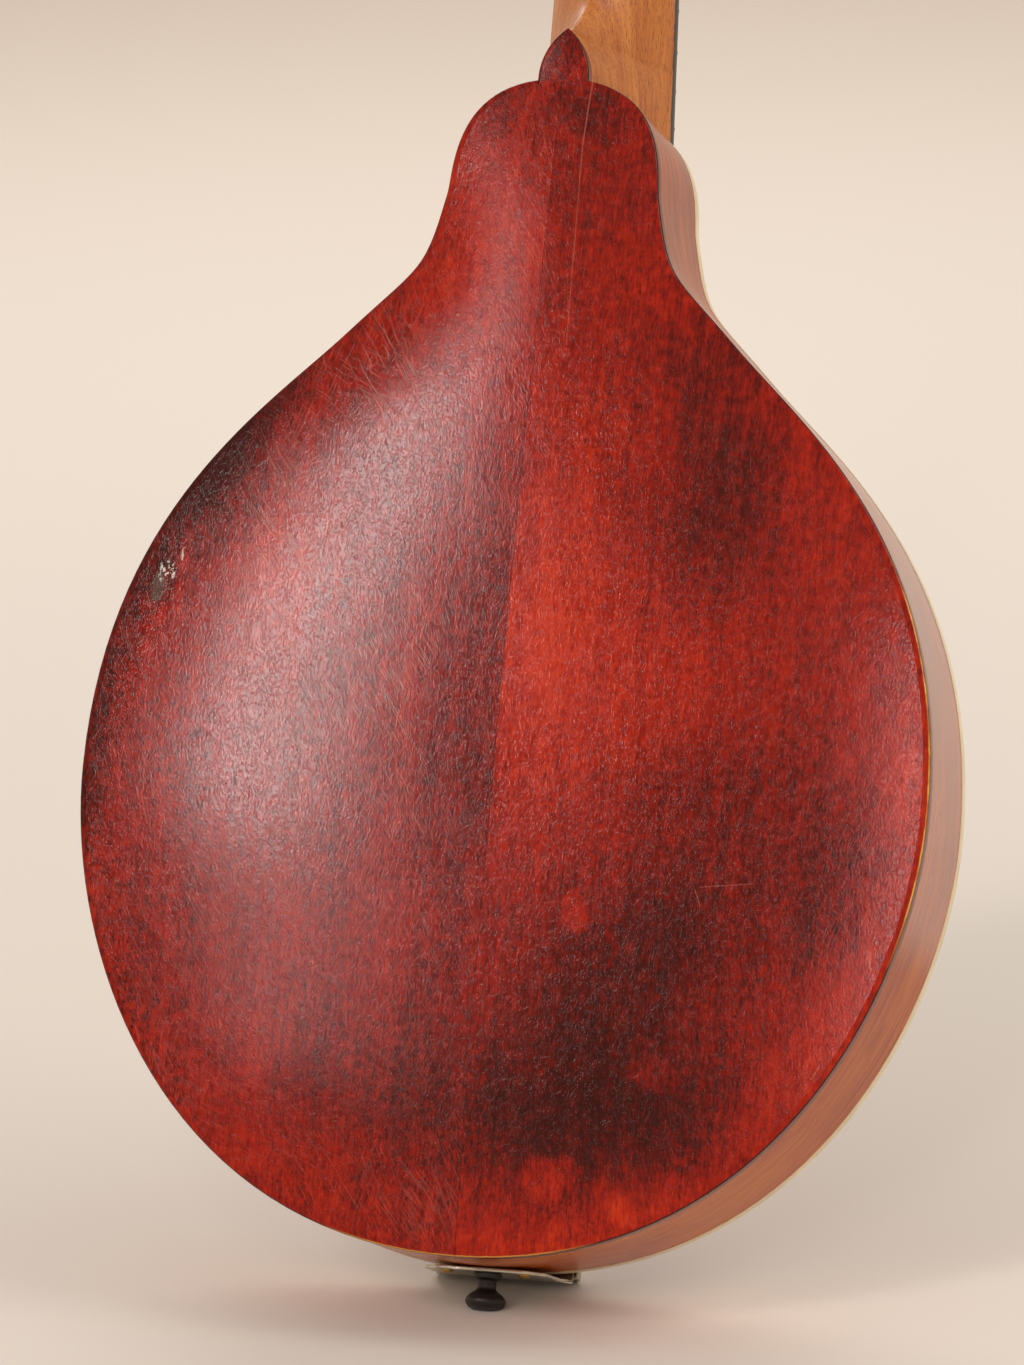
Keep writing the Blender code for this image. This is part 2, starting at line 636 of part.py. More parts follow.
def make_tone_bar(material):
    """Fit the tone bar to the hollow of the soundboard, below the sound hole."""
    z = HOLE_CENTRE - HOLE_HEIGHT / 2 - TONE_BAR_DROP
    half = TONE_BAR_WIDTH / 2
    rings = []
    for i in range(13):
        share = i / 6 - 1
        x = share * TONE_BAR_LENGTH / 2
        depth = TONE_BAR_DEPTH * (1 - 0.72 * share ** 4)
        tops = [-HALF_DEPTH - top_inner(x, z + side * half) + FIT_GAP for side in (-1, 1)]
        foot = max(tops) + depth
        rings.append([Vector((x, tops[0], z - half)), Vector((x, tops[1], z + half)),
                      Vector((x, foot, z + half * 0.6)), Vector((x, foot, z - half * 0.6))])
    return make_piece("tone_bar", skin(rings), material)


# Fingerboard, nut and neck


def board_level(z, depth=0.0):
    """Return y on the fingerboard's face at a height, or depth behind it."""
    rise = (BODY_LENGTH - z) * math.tan(NECK_ANGLE)
    return -BOARD_UNDER - BOARD_THICKNESS - rise + depth / math.cos(NECK_ANGLE)


def board_half_width(z):
    """Return the fingerboard's half width at a height."""
    share = (z - BODY_LENGTH) / (NUT_HEIGHT - BODY_LENGTH)
    return (BOARD_BODY_WIDTH + (BOARD_NUT_WIDTH - BOARD_BODY_WIDTH) * share) / 2


def slab(profile, half_width):
    """Return a solid between two mirrored sides, from a (y, z) profile."""
    sides = [[Vector((side * half_width(z), y, z)) for y, z in profile] for side in (-1, 1)]
    return skin(sides)


def make_fingerboard(material):
    """Make the fingerboard with its frets seated in it."""
    under = BOARD_THICKNESS
    profile = [(board_level(BOARD_FOOT, under), BOARD_FOOT), (board_level(BOARD_FOOT), BOARD_FOOT)]
    for fret in range(FRET_COUNT, 0, -1):
        z = NUT_HEIGHT - SCALE_LENGTH * (1 - 2 ** (-fret / 12))
        for offset, height in ((-FRET_WIDTH, 0.0), (-FRET_CROWN, FRET_HEIGHT),
                               (FRET_CROWN, FRET_HEIGHT), (FRET_WIDTH, 0.0)):
            place = z + offset / 2
            profile.append((board_level(place) - height, place))
    profile += [(board_level(NUT_HEIGHT), NUT_HEIGHT), (board_level(NUT_HEIGHT, under), NUT_HEIGHT)]
    return make_piece("fingerboard", slab(profile, board_half_width), material, sharp=25)


def board_blank(clearance):
    """Return the room that fingerboard and nut take, open towards the front."""
    foot = BOARD_FOOT - clearance
    end = NUT_HEIGHT + NUT_THICKNESS
    depth = BOARD_THICKNESS + clearance
    front = -4 * FRONT_EDGE
    profile = [(board_level(foot, depth), foot), (front, foot), (front, end)]
    profile.append((board_level(end, depth), end))
    return slab(profile, lambda z: board_half_width(z) + (clearance if z < BODY_LENGTH else HEAD_TOP_HALF))


def string_places():
    """Return, for each string, its course, post, radius and places at nut and bridge."""
    strings = []
    for course in range(4):
        side = "bass" if course < 2 else "treble"
        lower = course in (0, 3)
        for pair in range(2):
            outer = pair == (0 if side == "bass" else 1)
            row = (0 if lower else 2) + (0 if outer else 1)
            strings.append({
                "name": f"string_{COURSES[course]}{pair + 1}",
                "side": side,
                "post": row,
                "radius": STRING_DIAMETERS[course] / 2,
                "wound": course < WOUND_COURSES,
                "nut_x": (course - 1.5) * NUT_COURSES + (pair - 0.5) * NUT_PAIR,
                "bridge_x": (course - 1.5) * BRIDGE_COURSES + (pair - 0.5) * BRIDGE_PAIR,
                "hook_x": (2 * course + pair - 3.5) * HOOK_PITCH,
            })
    return strings


def string_level_nut():
    """Return y of the strings' centres over the nut's front edge."""
    return board_level(NUT_HEIGHT) - FRET_HEIGHT - NUT_RELIEF


def string_level_bridge():
    """Return y of the strings' centres over the bridge."""
    octave = NUT_HEIGHT - SCALE_LENGTH / 2
    over_octave = board_level(octave) - FRET_HEIGHT - ACTION
    return string_level_nut() + 2 * (over_octave - string_level_nut())


def head_point(along, x, out):
    """Return a point of the headstock: along it, across it and out of its wooden face."""
    nut_end = NUT_HEIGHT + NUT_THICKNESS
    start = Vector((0, board_level(nut_end, BOARD_THICKNESS), nut_end))
    up = Vector((0, math.sin(HEAD_ANGLE), math.cos(HEAD_ANGLE)))
    front = Vector((0, -math.cos(HEAD_ANGLE), math.sin(HEAD_ANGLE)))
    return start + up * along + front * out + Vector((x, 0, 0))


def head_axes(side):
    """Return a tuner row's axes: up the row, outwards, and out of the back."""
    up = head_point(1, 0, 0) - head_point(0, 0, 0)
    row = (up + Vector((side * POST_ROW_FLARE, 0, 0))).normalized()
    back = head_point(0, 0, -1) - head_point(0, 0, 0)
    outward = row.cross(back) * -side
    return row, outward, back


def post_along(index):
    """Return a post's distance up its row."""
    return POST_FIRST + index * POST_PITCH


def post_place(side, index):
    """Return the point where a post's axis meets the headstock's wooden face."""
    row = head_axes(side)[0]
    return head_point(0, side * POST_ROW_X, 0) + row * post_along(index)


def string_tangent(string):
    """Return where a string meets its turn round the post, and the turn's frame."""
    side = TUNER_SIDES[string["side"]]
    up = head_point(1, 0, 0) - head_point(0, 0, 0)
    front = head_point(0, 0, 1) - head_point(0, 0, 0)
    centre = post_place(side, string["post"]) + front * (HEAD_VENEER + FIT_GAP + WRAP_HEIGHT)
    start = Vector((string["nut_x"], string_level_nut(), NUT_HEIGHT))
    radius = POST_WAIST + STRING_GAP + string["radius"]
    flat = centre - start
    across, along = flat.x, flat.dot(up)
    distance = math.hypot(across, along)
    heading = math.atan2(along, across)
    lean = math.asin(radius / distance) * side
    heading += lean
    reach = math.sqrt(distance ** 2 - radius ** 2)
    corner = Vector((start.x + reach * math.cos(heading) - centre.x,
                     reach * math.sin(heading) - along))
    angle = math.atan2(corner.y, corner.x)
    return centre, up, front, radius, angle, side


def string_route(string):
    """Return a string's points from its turn on the post to its loop on the hook."""
    centre, up, front, radius, angle, side = string_tangent(string)
    points = []
    turn_steps = 8
    drop = 2 * string["radius"] + 2 * STRING_GAP
    for i in range(turn_steps, 0, -1):
        turned = angle + side * math.tau * i / turn_steps
        lower = drop * i / turn_steps
        points.append(centre + Vector((radius * math.cos(turned), 0, 0)) + up * radius * math.sin(turned)
                      - front * lower)
    points.append(centre + Vector((radius * math.cos(angle), 0, 0)) + up * radius * math.sin(angle))
    points.append(Vector((string["nut_x"], string_level_nut(), NUT_HEIGHT)))
    points.append(Vector((string["bridge_x"], string_level_bridge(), BRIDGE_HEIGHT)))
    loop = HOOK_RADIUS + STRING_GAP + string["radius"]
    for i in range(7):
        turned = -math.radians(40 * i)
        points.append(tail_point(string["hook_x"] + loop * math.cos(turned),
                                 HOOK_PLACE + loop * math.sin(turned), HOOK_HEIGHT))
    return points


def make_string(string, material):
    """Draw one string as a tube along its route."""
    curve = bpy.data.curves.new(string["name"], "CURVE")
    curve.dimensions = "3D"
    curve.bevel_depth = string["radius"]
    curve.bevel_resolution = 2
    curve.use_fill_caps = True
    route = string_route(string)
    spline = curve.splines.new("POLY")
    spline.points.add(len(route) - 1)
    for point, place in zip(spline.points, route):
        point.co = (*place, 1.0)
    curve.materials.append(material)
    piece = bpy.data.objects.new(string["name"], curve)
    bpy.context.scene.collection.objects.link(piece)
    return piece


def notched(strings, half_low, half_high, foot, crest, floor, key, shift):
    """Return the (x, y) outline of a nut or saddle with a notch for each string."""
    points = [(-half_low, foot), (-half_high, crest)]
    for string in strings:
        x = string[key] + shift(string)
        half = string["radius"] + STRING_GAP
        bottom = floor + string["radius"]
        points += [(x - half, crest), (x - half, bottom), (x + half, bottom), (x + half, crest)]
    return points + [(half_high, crest), (half_low, foot)]


def make_nut(strings, material):
    """Shape the nut, notched for the strings and sloped towards the headstock."""
    front_z = NUT_HEIGHT + FIT_GAP
    back_z = NUT_HEIGHT + NUT_THICKNESS - FIT_GAP
    half = BOARD_NUT_WIDTH / 2
    level = string_level_nut()
    slopes = {}
    for string in strings:
        centre, up, front, radius, angle, side = string_tangent(string)
        end = centre + Vector((radius * math.cos(angle), 0, 0)) + up * radius * math.sin(angle)
        way = end - Vector((string["nut_x"], level, NUT_HEIGHT))
        slopes[string["name"]] = (way.x / way.z, way.y / way.z)
    steepest = max(slope[1] for slope in slopes.values())
    rings = []
    for z in (front_z, back_z):
        fall = (z - NUT_HEIGHT) * steepest
        profile = notched(strings, half, half, board_level(z, BOARD_THICKNESS) - FIT_GAP,
                          level + fall - STRING_GAP / 3, level + fall + STRING_GAP, "nut_x",
                          lambda item: (z - NUT_HEIGHT) * slopes[item["name"]][0])
        rings.append([Vector((x, y, z)) for x, y in profile])
    return make_piece("nut", skin(rings), material)


def body_blank():
    """Return the room that the body takes where the neck meets it."""
    beyond = 3 * FRONT_EDGE
    at_rim = PLATE_OVERHANG - FIT_GAP
    return skin([ring_at(-beyond, 1, -FIT_GAP), ring_at(-HALF_DEPTH, 1, -FIT_GAP),
                 ring_at(-HALF_DEPTH, 1, at_rim), ring_at(beyond, 1, at_rim)])


def tenon_shape(clearance, length):
    """Return the neck's dovetail, or with a clearance the mortise that it slides into."""
    root = BODY_LENGTH + TENON_ROOT
    end = BODY_LENGTH - PLATE_OVERHANG - length - clearance
    narrow = TENON_WIDTH / 2 + clearance
    wide = narrow + TENON_FLARE
    front = -HALF_DEPTH + FIT_GAP - 3 * clearance
    back = HALF_DEPTH - TENON_BACK + clearance
    ring = [(narrow, root), (narrow, BODY_LENGTH - PLATE_OVERHANG), (wide, end),
            (-wide, end), (-narrow, BODY_LENGTH - PLATE_OVERHANG), (-narrow, root)]
    return extrude(ring, front, back, lambda x, z, y: Vector((x, y, z)))


def ridge_level(z):
    """Return y of the back of the neck on the centreline."""
    tip = BODY_LENGTH + BUTTON_LENGTH
    shaft = tip + SHAFT_START
    cap = HALF_DEPTH - FIT_GAP
    share = (z - shaft) / (NUT_HEIGHT - shaft)
    depth = NECK_DEPTH_BODY + (NECK_DEPTH_NUT - NECK_DEPTH_BODY) * share
    shaft_level = board_level(z) + depth / math.cos(NECK_ANGLE)
    if z <= tip + HEEL_RIDGE[0][0] * MM:
        return cap
    if z >= shaft:
        return shaft_level
    places = [(tip + up * MM, HALF_DEPTH - deep * MM) for up, deep in HEEL_RIDGE]
    end_depth = NECK_DEPTH_BODY / math.cos(NECK_ANGLE)
    places.append((shaft, board_level(shaft) + end_depth))
    for (z0, y0), (z1, y1) in zip(places, places[1:]):
        if z <= z1:
            return min(cap, y0 + (y1 - y0) * (z - z0) / (z1 - z0))
    return shaft_level


def head_level(z, out):
    """Return y of a plane parallel to the headstock's wooden face, at a height."""
    point = head_point(0, 0, out)
    return point.y + (z - point.z) * math.tan(HEAD_ANGLE)


def neck_ring(z):
    """Return the neck's section at a height, from one fingerboard edge to the other."""
    tip = BODY_LENGTH + BUTTON_LENGTH
    blend = min(1.0, max(0.0, (z - tip) / (SHAFT_START * 1.4)))
    fullness = 1.0 + 1.1 * blend
    half = board_half_width(min(z, NUT_HEIGHT))
    flat = button_half_width(z)
    face = board_level(z, BOARD_THICKNESS + FIT_GAP)
    ridge = ridge_level(z)
    if z > NUT_HEIGHT + NUT_THICKNESS:
        half *= VOLUTE_NARROWING
        face = head_level(z, -HEAD_THICKNESS / 4)
        ridge = head_level(z, -HEAD_THICKNESS + VOLUTE_SINK)
    right = []
    for i in range(6):
        angle = math.radians(18 * i)
        across = max(0.0, math.cos(angle)) ** (2 / fullness)
        down = math.sin(angle) ** (2 / fullness)
        right.append(Vector((flat + (half - flat) * across, face + (ridge - face) * down, z)))
    return right + [Vector((-p.x, p.y, p.z)) for p in reversed(right)]


def head_outline(start):
    """Return the headstock's outline as (along, x) points, from a start up and over."""
    side = [(a * MM, x * MM) for a, x in HEAD_SIDE if a * MM > start]
    low = next(i for i, (a, x) in enumerate(HEAD_SIDE) if a * MM >= start)
    if low > 0:
        (a0, x0), (a1, x1) = HEAD_SIDE[low - 1], HEAD_SIDE[low]
        share = (start / MM - a0) / (a1 - a0)
        side.insert(0, (start, (x0 + (x1 - x0) * share) * MM))
    else:
        side.insert(0, (start, HEAD_SIDE[0][1] * MM))
    for i in range(4):
        angle = math.radians(30 * i)
        side.append((HEAD_TOP_START + HEAD_CORNER * math.sin(angle),
                     HEAD_TOP_HALF - HEAD_CORNER * (1 - math.cos(angle))))
    shoulder_a, shoulder_x = side[-1]
    rise = HEAD_LENGTH - shoulder_a
    for i in range(1, 5):
        share = i / 5
        side.append((shoulder_a + rise * math.sin(share * math.pi / 2) ** 1.6,
                     shoulder_x * (1 - share) ** 0.9))
    return side + [(HEAD_LENGTH, 0.0)] + [(a, -x) for a, x in reversed(side)]


def post_bores():
    """Return the holes that the string posts turn in, through the whole headstock."""
    bores = []
    for side in TUNER_SIDES.values():
        back = head_axes(side)[2]
        for index in range(4):
            place = post_place(side, index)
            turn = back.to_track_quat("Z", "X").to_matrix().to_4x4()
            matrix = Matrix.Translation(place) @ turn
            bar = round_bar(ROUND_SIDES, ((-HEAD_THICKNESS, hole_radius(POST_RADIUS, RUN_GAP)),
                                          (2 * HEAD_THICKNESS, hole_radius(POST_RADIUS, RUN_GAP))))
            bores.append(([matrix @ v for v in bar[0]], bar[1]))
    return join_shapes(bores)


def make_neck(material):
    """Carve neck, heel and headstock from one piece, with the dovetail at its foot."""
    tip = BODY_LENGTH + BUTTON_LENGTH
    shaft = tip + SHAFT_START
    end = NUT_HEIGHT + NUT_THICKNESS
    heights = [BODY_LENGTH - NECK_FOOT, BODY_LENGTH]
    heights += [BODY_LENGTH + BUTTON_LENGTH * share for share in (0.35, 0.65, 0.85)]
    heights += [tip + up * MM for up, deep in HEEL_RIDGE] + [shaft]
    heights += [shaft + (NUT_HEIGHT - shaft) * share for share in (0.2, 0.6, 0.93)]
    heights += [end, end + VOLUTE_LENGTH]
    neck = make_piece("neck", skin([neck_ring(z) for z in heights]), material, sharp=30)
    slab_shape = extrude(head_outline(HEAD_SIDE[0][0] * MM), -HEAD_THICKNESS, 0.0, head_point)
    combine(neck, "UNION", "headstock_blank", slab_shape)
    combine(neck, "DIFFERENCE", "neck_face_cutter", board_blank(FIT_GAP))
    combine(neck, "DIFFERENCE", "neck_foot_cutter", body_blank())
    combine(neck, "UNION", "neck_tenon", tenon_shape(0.0, TENON_LENGTH))
    combine(neck, "DIFFERENCE", "post_bore_cutter", post_bores())
    return neck


def make_veneer(material):
    """Lay the veneer on the front of the headstock."""
    shape = extrude(head_outline(FIT_GAP), FIT_GAP, FIT_GAP + HEAD_VENEER, head_point)
    veneer = make_piece("headstock_veneer", shape, material)
    combine(veneer, "DIFFERENCE", "veneer_bore_cutter", post_bores())
    return veneer


# Tuners


def tuner_frame(side, along, out):
    """Return a matrix at a place of a tuner row: X up the row, Z out of the back."""
    row, outward, back = head_axes(side)
    across = back.cross(row)
    place = head_point(0, side * POST_ROW_X, -HEAD_THICKNESS) + row * along + back * out
    return Matrix.Translation(place) @ Matrix((row, across, back)).transposed().to_4x4()


def gear_distance():
    """Return the distance between a post's axis and its worm's axis."""
    return GEAR_MODULE * GEAR_TEETH / 2 + WORM_PITCH


def axis_out():
    """Return the height of the worm's axis over the headstock's back."""
    return FIT_GAP + PLATE_THICKNESS + WORM_HEIGHT


def make_tuner_plate(name, side, material):
    """Make a tuner plate with its bent lugs, bored for posts and worm shafts."""
    low = post_along(0) - gear_distance() - PLATE_MARGIN
    high = post_along(3) + PLATE_MARGIN
    half = PLATE_WIDTH / 2
    cut = PLATE_CORNER
    corners = [(low + cut, -half), (high - cut, -half), (high, cut - half), (high, half - cut),
               (high - cut, half), (low + cut, half), (low, half - cut), (low, cut - half)]
    sheet = extrude(corners, FIT_GAP, FIT_GAP + PLATE_THICKNESS, lambda a, b, c: Vector((a, b, c)))
    frame = tuner_frame(side, 0.0, 0.0)
    plate = make_piece(name, sheet, material, frame)
    lugs, bores = [], []
    top = axis_out() + SHAFT_RADIUS + LUG_WALL
    for index in range(4):
        centre = post_along(index) - gear_distance()
        for offset in (-LUG_OFFSET, LUG_OFFSET):
            near = offset - PLATE_THICKNESS / 2
            lugs.append(box_shape((centre - LUG_WIDTH / 2, near, FIT_GAP + PLATE_THICKNESS / 2),
                                  (centre + LUG_WIDTH / 2, near + PLATE_THICKNESS, top)))
        radius = hole_radius(SHAFT_RADIUS, RUN_GAP)
        bar = round_bar(ROUND_SIDES, ((-2 * LUG_OFFSET, radius), (2 * LUG_OFFSET, radius)), axis=1)
        bores.append(([v + Vector((centre, 0, axis_out())) for v in bar[0]], bar[1]))
        radius = hole_radius(POST_RADIUS, RUN_GAP)
        bar = round_bar(ROUND_SIDES, ((-HEAD_THICKNESS, radius), (HEAD_THICKNESS, radius)))
        bores.append(([v + Vector((post_along(index), 0, 0)) for v in bar[0]], bar[1]))
    combine(plate, "UNION", name + "_lugs", join_shapes(lugs), frame)
    combine(plate, "DIFFERENCE", name + "_bores", join_shapes(bores), frame)
    return plate


def post_shape():
    """Return a string post: stepped under the gear, waisted where the string turns."""
    veneer_face = HEAD_THICKNESS + FIT_GAP + HEAD_VENEER
    wrap = veneer_face + WRAP_HEIGHT
    head = veneer_face + POST_HEIGHT
    gear_low = axis_out() - GEAR_THICKNESS / 2
    gear_high = axis_out() + GEAR_THICKNESS / 2
    return round_bar(ROUND_SIDES, (
        (-head, POST_RADIUS - POST_CHAMFER), (-head + POST_CHAMFER, POST_RADIUS),
        (-wrap - WRAP_SPAN / 2, POST_RADIUS),
        (-wrap - WRAP_SPAN / 3, POST_WAIST), (-wrap + WRAP_SPAN / 2, POST_WAIST),
        (-wrap + WRAP_SPAN * 0.7, POST_RADIUS), (gear_low - FIT_GAP, POST_RADIUS),
        (gear_low - FIT_GAP, GEAR_HUB), (gear_high + POST_TAIL, GEAR_HUB)))


def gear_shape():
    """Return the gear, with a tooth space turned towards the worm."""
    pitch = GEAR_MODULE * GEAR_TEETH / 2
    tip = gear_distance() - WORM_ROOT - FIT_GAP
    root = gear_distance() - WORM_TIP - FIT_GAP * 1.2
    step = math.tau / GEAR_TEETH
    half_tip, half_root = TOOTH_TIP_HALF / pitch, TOOTH_ROOT_HALF / pitch
    teeth = []
    for tooth in range(GEAR_TEETH):
        middle = math.pi + step * (tooth + 0.5)
        for radius, angle in ((root, -half_root), (tip, -half_tip), (tip, half_tip), (root, half_root)):
            teeth.append((radius * math.cos(middle + angle), radius * math.sin(middle + angle)))
    half = GEAR_THICKNESS / 2
    bore = hole_radius(GEAR_HUB, FIT_GAP, len(teeth) // 4)
    inner = []
    for i in range(len(teeth)):
        angle = math.pi + step * (i // 4 + 0.5)
        inner.append((bore * math.cos(angle), bore * math.sin(angle)))
    outer_low = [Vector((x, y, -half)) for x, y in teeth]
    outer_high = [Vector((x, y, half)) for x, y in teeth]
    count = len(teeth)
    bores = GEAR_TEETH
    verts = outer_low + outer_high
    verts += [Vector((*inner[4 * k], -half)) for k in range(bores)]
    verts += [Vector((*inner[4 * k], half)) for k in range(bores)]
    faces = [(i, (i + 1) % count, count + (i + 1) % count, count + i) for i in range(count)]
    low, high = 2 * count, 2 * count + bores
    for k in range(bores):
        after = (k + 1) % bores
        faces.append((low + k, high + k, high + after, low + after))
        ring = [4 * k + 1, 4 * k + 2, 4 * k + 3, (4 * k + 4) % count, (4 * k + 5) % count]
        faces.append((low + k, low + after, ring[4], ring[3], ring[2], ring[1], ring[0]))
        faces.append(tuple([high + k] + [count + i for i in ring] + [high + after]))
    return verts, faces


def worm_shape(side):
    """Return a worm shaft along local Y, its thread cut to the hand of its side."""
    lead = math.pi * GEAR_MODULE
    sides = WORM_SIDES
    half_thread = WORM_TURNS * lead / 2
    shoulder = LUG_OFFSET - PLATE_THICKNESS / 2 - RUN_GAP
    profile = {0: WORM_TIP, 1: WORM_SLOPE, sides - 1: WORM_SLOPE}
    stations = [(-LUG_OFFSET - PLATE_THICKNESS, None, SHAFT_RADIUS), (-shoulder, None, SHAFT_RADIUS),
                (-shoulder, None, WORM_COLLAR), (-half_thread - lead / sides, None, WORM_COLLAR)]
    for k in range(WORM_TURNS * sides + 1):
        stations.append((-half_thread + lead * k / sides, k, WORM_ROOT))
    shaft_end = KNOB_START + KNOB_LENGTH / 2 - RUN_GAP
    stations += [(half_thread + lead / sides, None, WORM_COLLAR), (shoulder, None, WORM_COLLAR),
                 (shoulder, None, SHAFT_RADIUS), (shaft_end, None, SHAFT_RADIUS)]
    rings = []
    for distance, turn, radius in stations:
        ring = []
        for i in range(sides):
            angle = math.tau * i / sides
            size = radius
            if turn is not None:
                fade = min(1.0, 0.5 + turn / sides, 0.5 + (WORM_TURNS * sides - turn) / sides)
                crest = profile.get((turn - i - WORM_TURNS * sides // 2) % sides, WORM_ROOT)
                size = WORM_ROOT + (crest - WORM_ROOT) * fade
            ring.append(Vector((size * math.cos(angle), side * distance, size * math.sin(angle))))
        rings.append(ring)
    verts, faces = skin(rings)
    split = []
    for face in faces:
        if len(face) == 4:
            split += [(face[0], face[1], face[2]), (face[0], face[2], face[3])]
        else:
            split.append(face)
    return verts, split


def knob_shape(side):
    """Return a tuner button: a flattened oval with a blind bore for its shaft."""
    bore = hole_radius(SHAFT_RADIUS, FIT_GAP, KNOB_SIDES)
    rings = []
    for distance, half_width, half_thick in (
            (KNOB_LENGTH / 2, bore, bore), (0.0, bore, bore), (0.0, KNOB_NECK_RADIUS, KNOB_NECK_RADIUS),
            (KNOB_LENGTH * 0.12, KNOB_COLLAR_WIDTH / 2, KNOB_COLLAR_THICKNESS / 2),
            (KNOB_LENGTH * 0.3, KNOB_WIDTH * 0.42, KNOB_THICKNESS * 0.46),
            (KNOB_LENGTH * 0.55, KNOB_WIDTH * 0.5, KNOB_THICKNESS * 0.5),
            (KNOB_LENGTH * 0.8, KNOB_WIDTH * 0.44, KNOB_THICKNESS * 0.42),
            (KNOB_LENGTH * 0.95, KNOB_WIDTH * 0.27, KNOB_THICKNESS * 0.27)):
        ring = []
        for i in range(KNOB_SIDES):
            angle = math.tau * i / KNOB_SIDES
            ring.append(Vector((half_width * math.cos(angle), side * (KNOB_START + distance),
                                half_thick * math.sin(angle))))
        rings.append(ring)
    end = Vector((0, side * (KNOB_START + KNOB_LENGTH), 0))
    return skin(rings, None, end)


def make_tuners(materials):
    """Make the two tuner plates and the eight sets of post, gear, worm and button."""
    for name, side in TUNER_SIDES.items():
        make_tuner_plate("tuner_plate_" + name, side, materials["nickel"])
        for index in range(4):
            label = f"{name}_{index + 1}"
            along = post_along(index)
            post = tuner_frame(side, along, 0.0)
            gear = tuner_frame(side, along, axis_out())
            worm = tuner_frame(side, along - gear_distance(), axis_out())
            make_piece("string_post_" + label, post_shape(), materials["nickel"], post)
            make_piece("tuner_gear_" + label, gear_shape(), materials["brass"], gear, 25)
            make_piece("worm_shaft_" + label, worm_shape(side), materials["steel"], worm, 50)
            make_piece("tuner_button_" + label, knob_shape(side), materials["ivory"], worm, 50)


# Bridge


def make_bridge_base(material):
    """Fit the bridge base to the arch, hollowed between its two feet."""
    half = BRIDGE_WIDTH / 2
    ledge = -HALF_DEPTH - TOP_CROWN - BRIDGE_LEDGE
    rings = []
    reach = BRIDGE_LENGTH / 2
    inner = reach - BRIDGE_FOOT
    stations = [-reach, -reach + BRIDGE_TIP_RUN, -inner - BRIDGE_FOOT_END, -inner,
                -inner + BRIDGE_RELIEF_RUN, -inner / 2]
    flat = SADDLE_LENGTH / 2 + SADDLE_MARGIN
    for x in stations + [0.0] + [-x for x in reversed(stations)]:
        relief = BRIDGE_RELIEF * min(1.0, max(0.0, (inner - abs(x)) / BRIDGE_RELIEF_RUN))
        feet = [-HALF_DEPTH - top_outer(x, BRIDGE_HEIGHT + side * half) - FIT_GAP - relief
                for side in (-1, 1)]
        share = min(1.0, max(0.0, (abs(x) - flat) / (reach - flat)))
        top = ledge * (1 - share) + (min(feet) - BRIDGE_TIP) * share
        narrow = half * 0.8
        section = ((feet[0], -half), (feet[1], half), (top, narrow), (top, -narrow))
        rings.append([Vector((x, y, BRIDGE_HEIGHT + across)) for y, across in section])
    return make_piece("bridge_base", skin(rings), material)


def make_bridge_saddle(strings, material):
    """Shape the bridge saddle, thin at its crest and notched for the strings."""
    foot = -HALF_DEPTH - TOP_CROWN - BRIDGE_LEDGE - FIT_GAP
    level = string_level_bridge()
    half = SADDLE_LENGTH / 2
    crest_half = 1.5 * BRIDGE_COURSES + BRIDGE_PAIR / 2 + CREST_MARGIN
    profile = notched(strings, half, crest_half, foot, level, level + STRING_GAP + NOTCH_DEPTH, "bridge_x",
                      lambda item: 0.0)
    rings = []
    for side in (-1, 1):
        ring = []
        for x, y in profile:
            thick = SADDLE_FOOT if y > foot - MM else SADDLE_TOP
            ring.append(Vector((x, y, BRIDGE_HEIGHT + side * thick / 2)))
        rings.append(ring)
    return make_piece("bridge_saddle", skin(rings), material)


# Tailpiece and end pin


def tail_slope():
    """Return how steeply strings and tailpiece rise from the tail to the bridge."""
    start = -FRONT_EDGE - TAIL_LIFT - TAIL_SHEET - HOOK_HEIGHT
    return math.atan((start - string_level_bridge()) / BRIDGE_HEIGHT)


def tail_point(x, along, out):
    """Return a point over the tailpiece's sheet: across, up the strings and out."""
    slope = tail_slope()
    way = Vector((0, -math.sin(slope), math.cos(slope)))
    front = Vector((0, -math.cos(slope), -math.sin(slope)))
    bridge = Vector((0, string_level_bridge(), BRIDGE_HEIGHT))
    start = bridge - way * (BRIDGE_HEIGHT / math.cos(slope)) - front * HOOK_HEIGHT
    return start + way * along + front * out + Vector((x, 0, 0))


def tail_frame():
    """Return a matrix at the tailpiece's foot: Y up the strings, Z out of the sheet."""
    start = tail_point(0, 0, 0)
    way = tail_point(0, 1, 0) - start
    front = tail_point(0, 0, 1) - start
    return Matrix.Translation(start) @ Matrix((way.cross(front), way, front)).transposed().to_4x4()


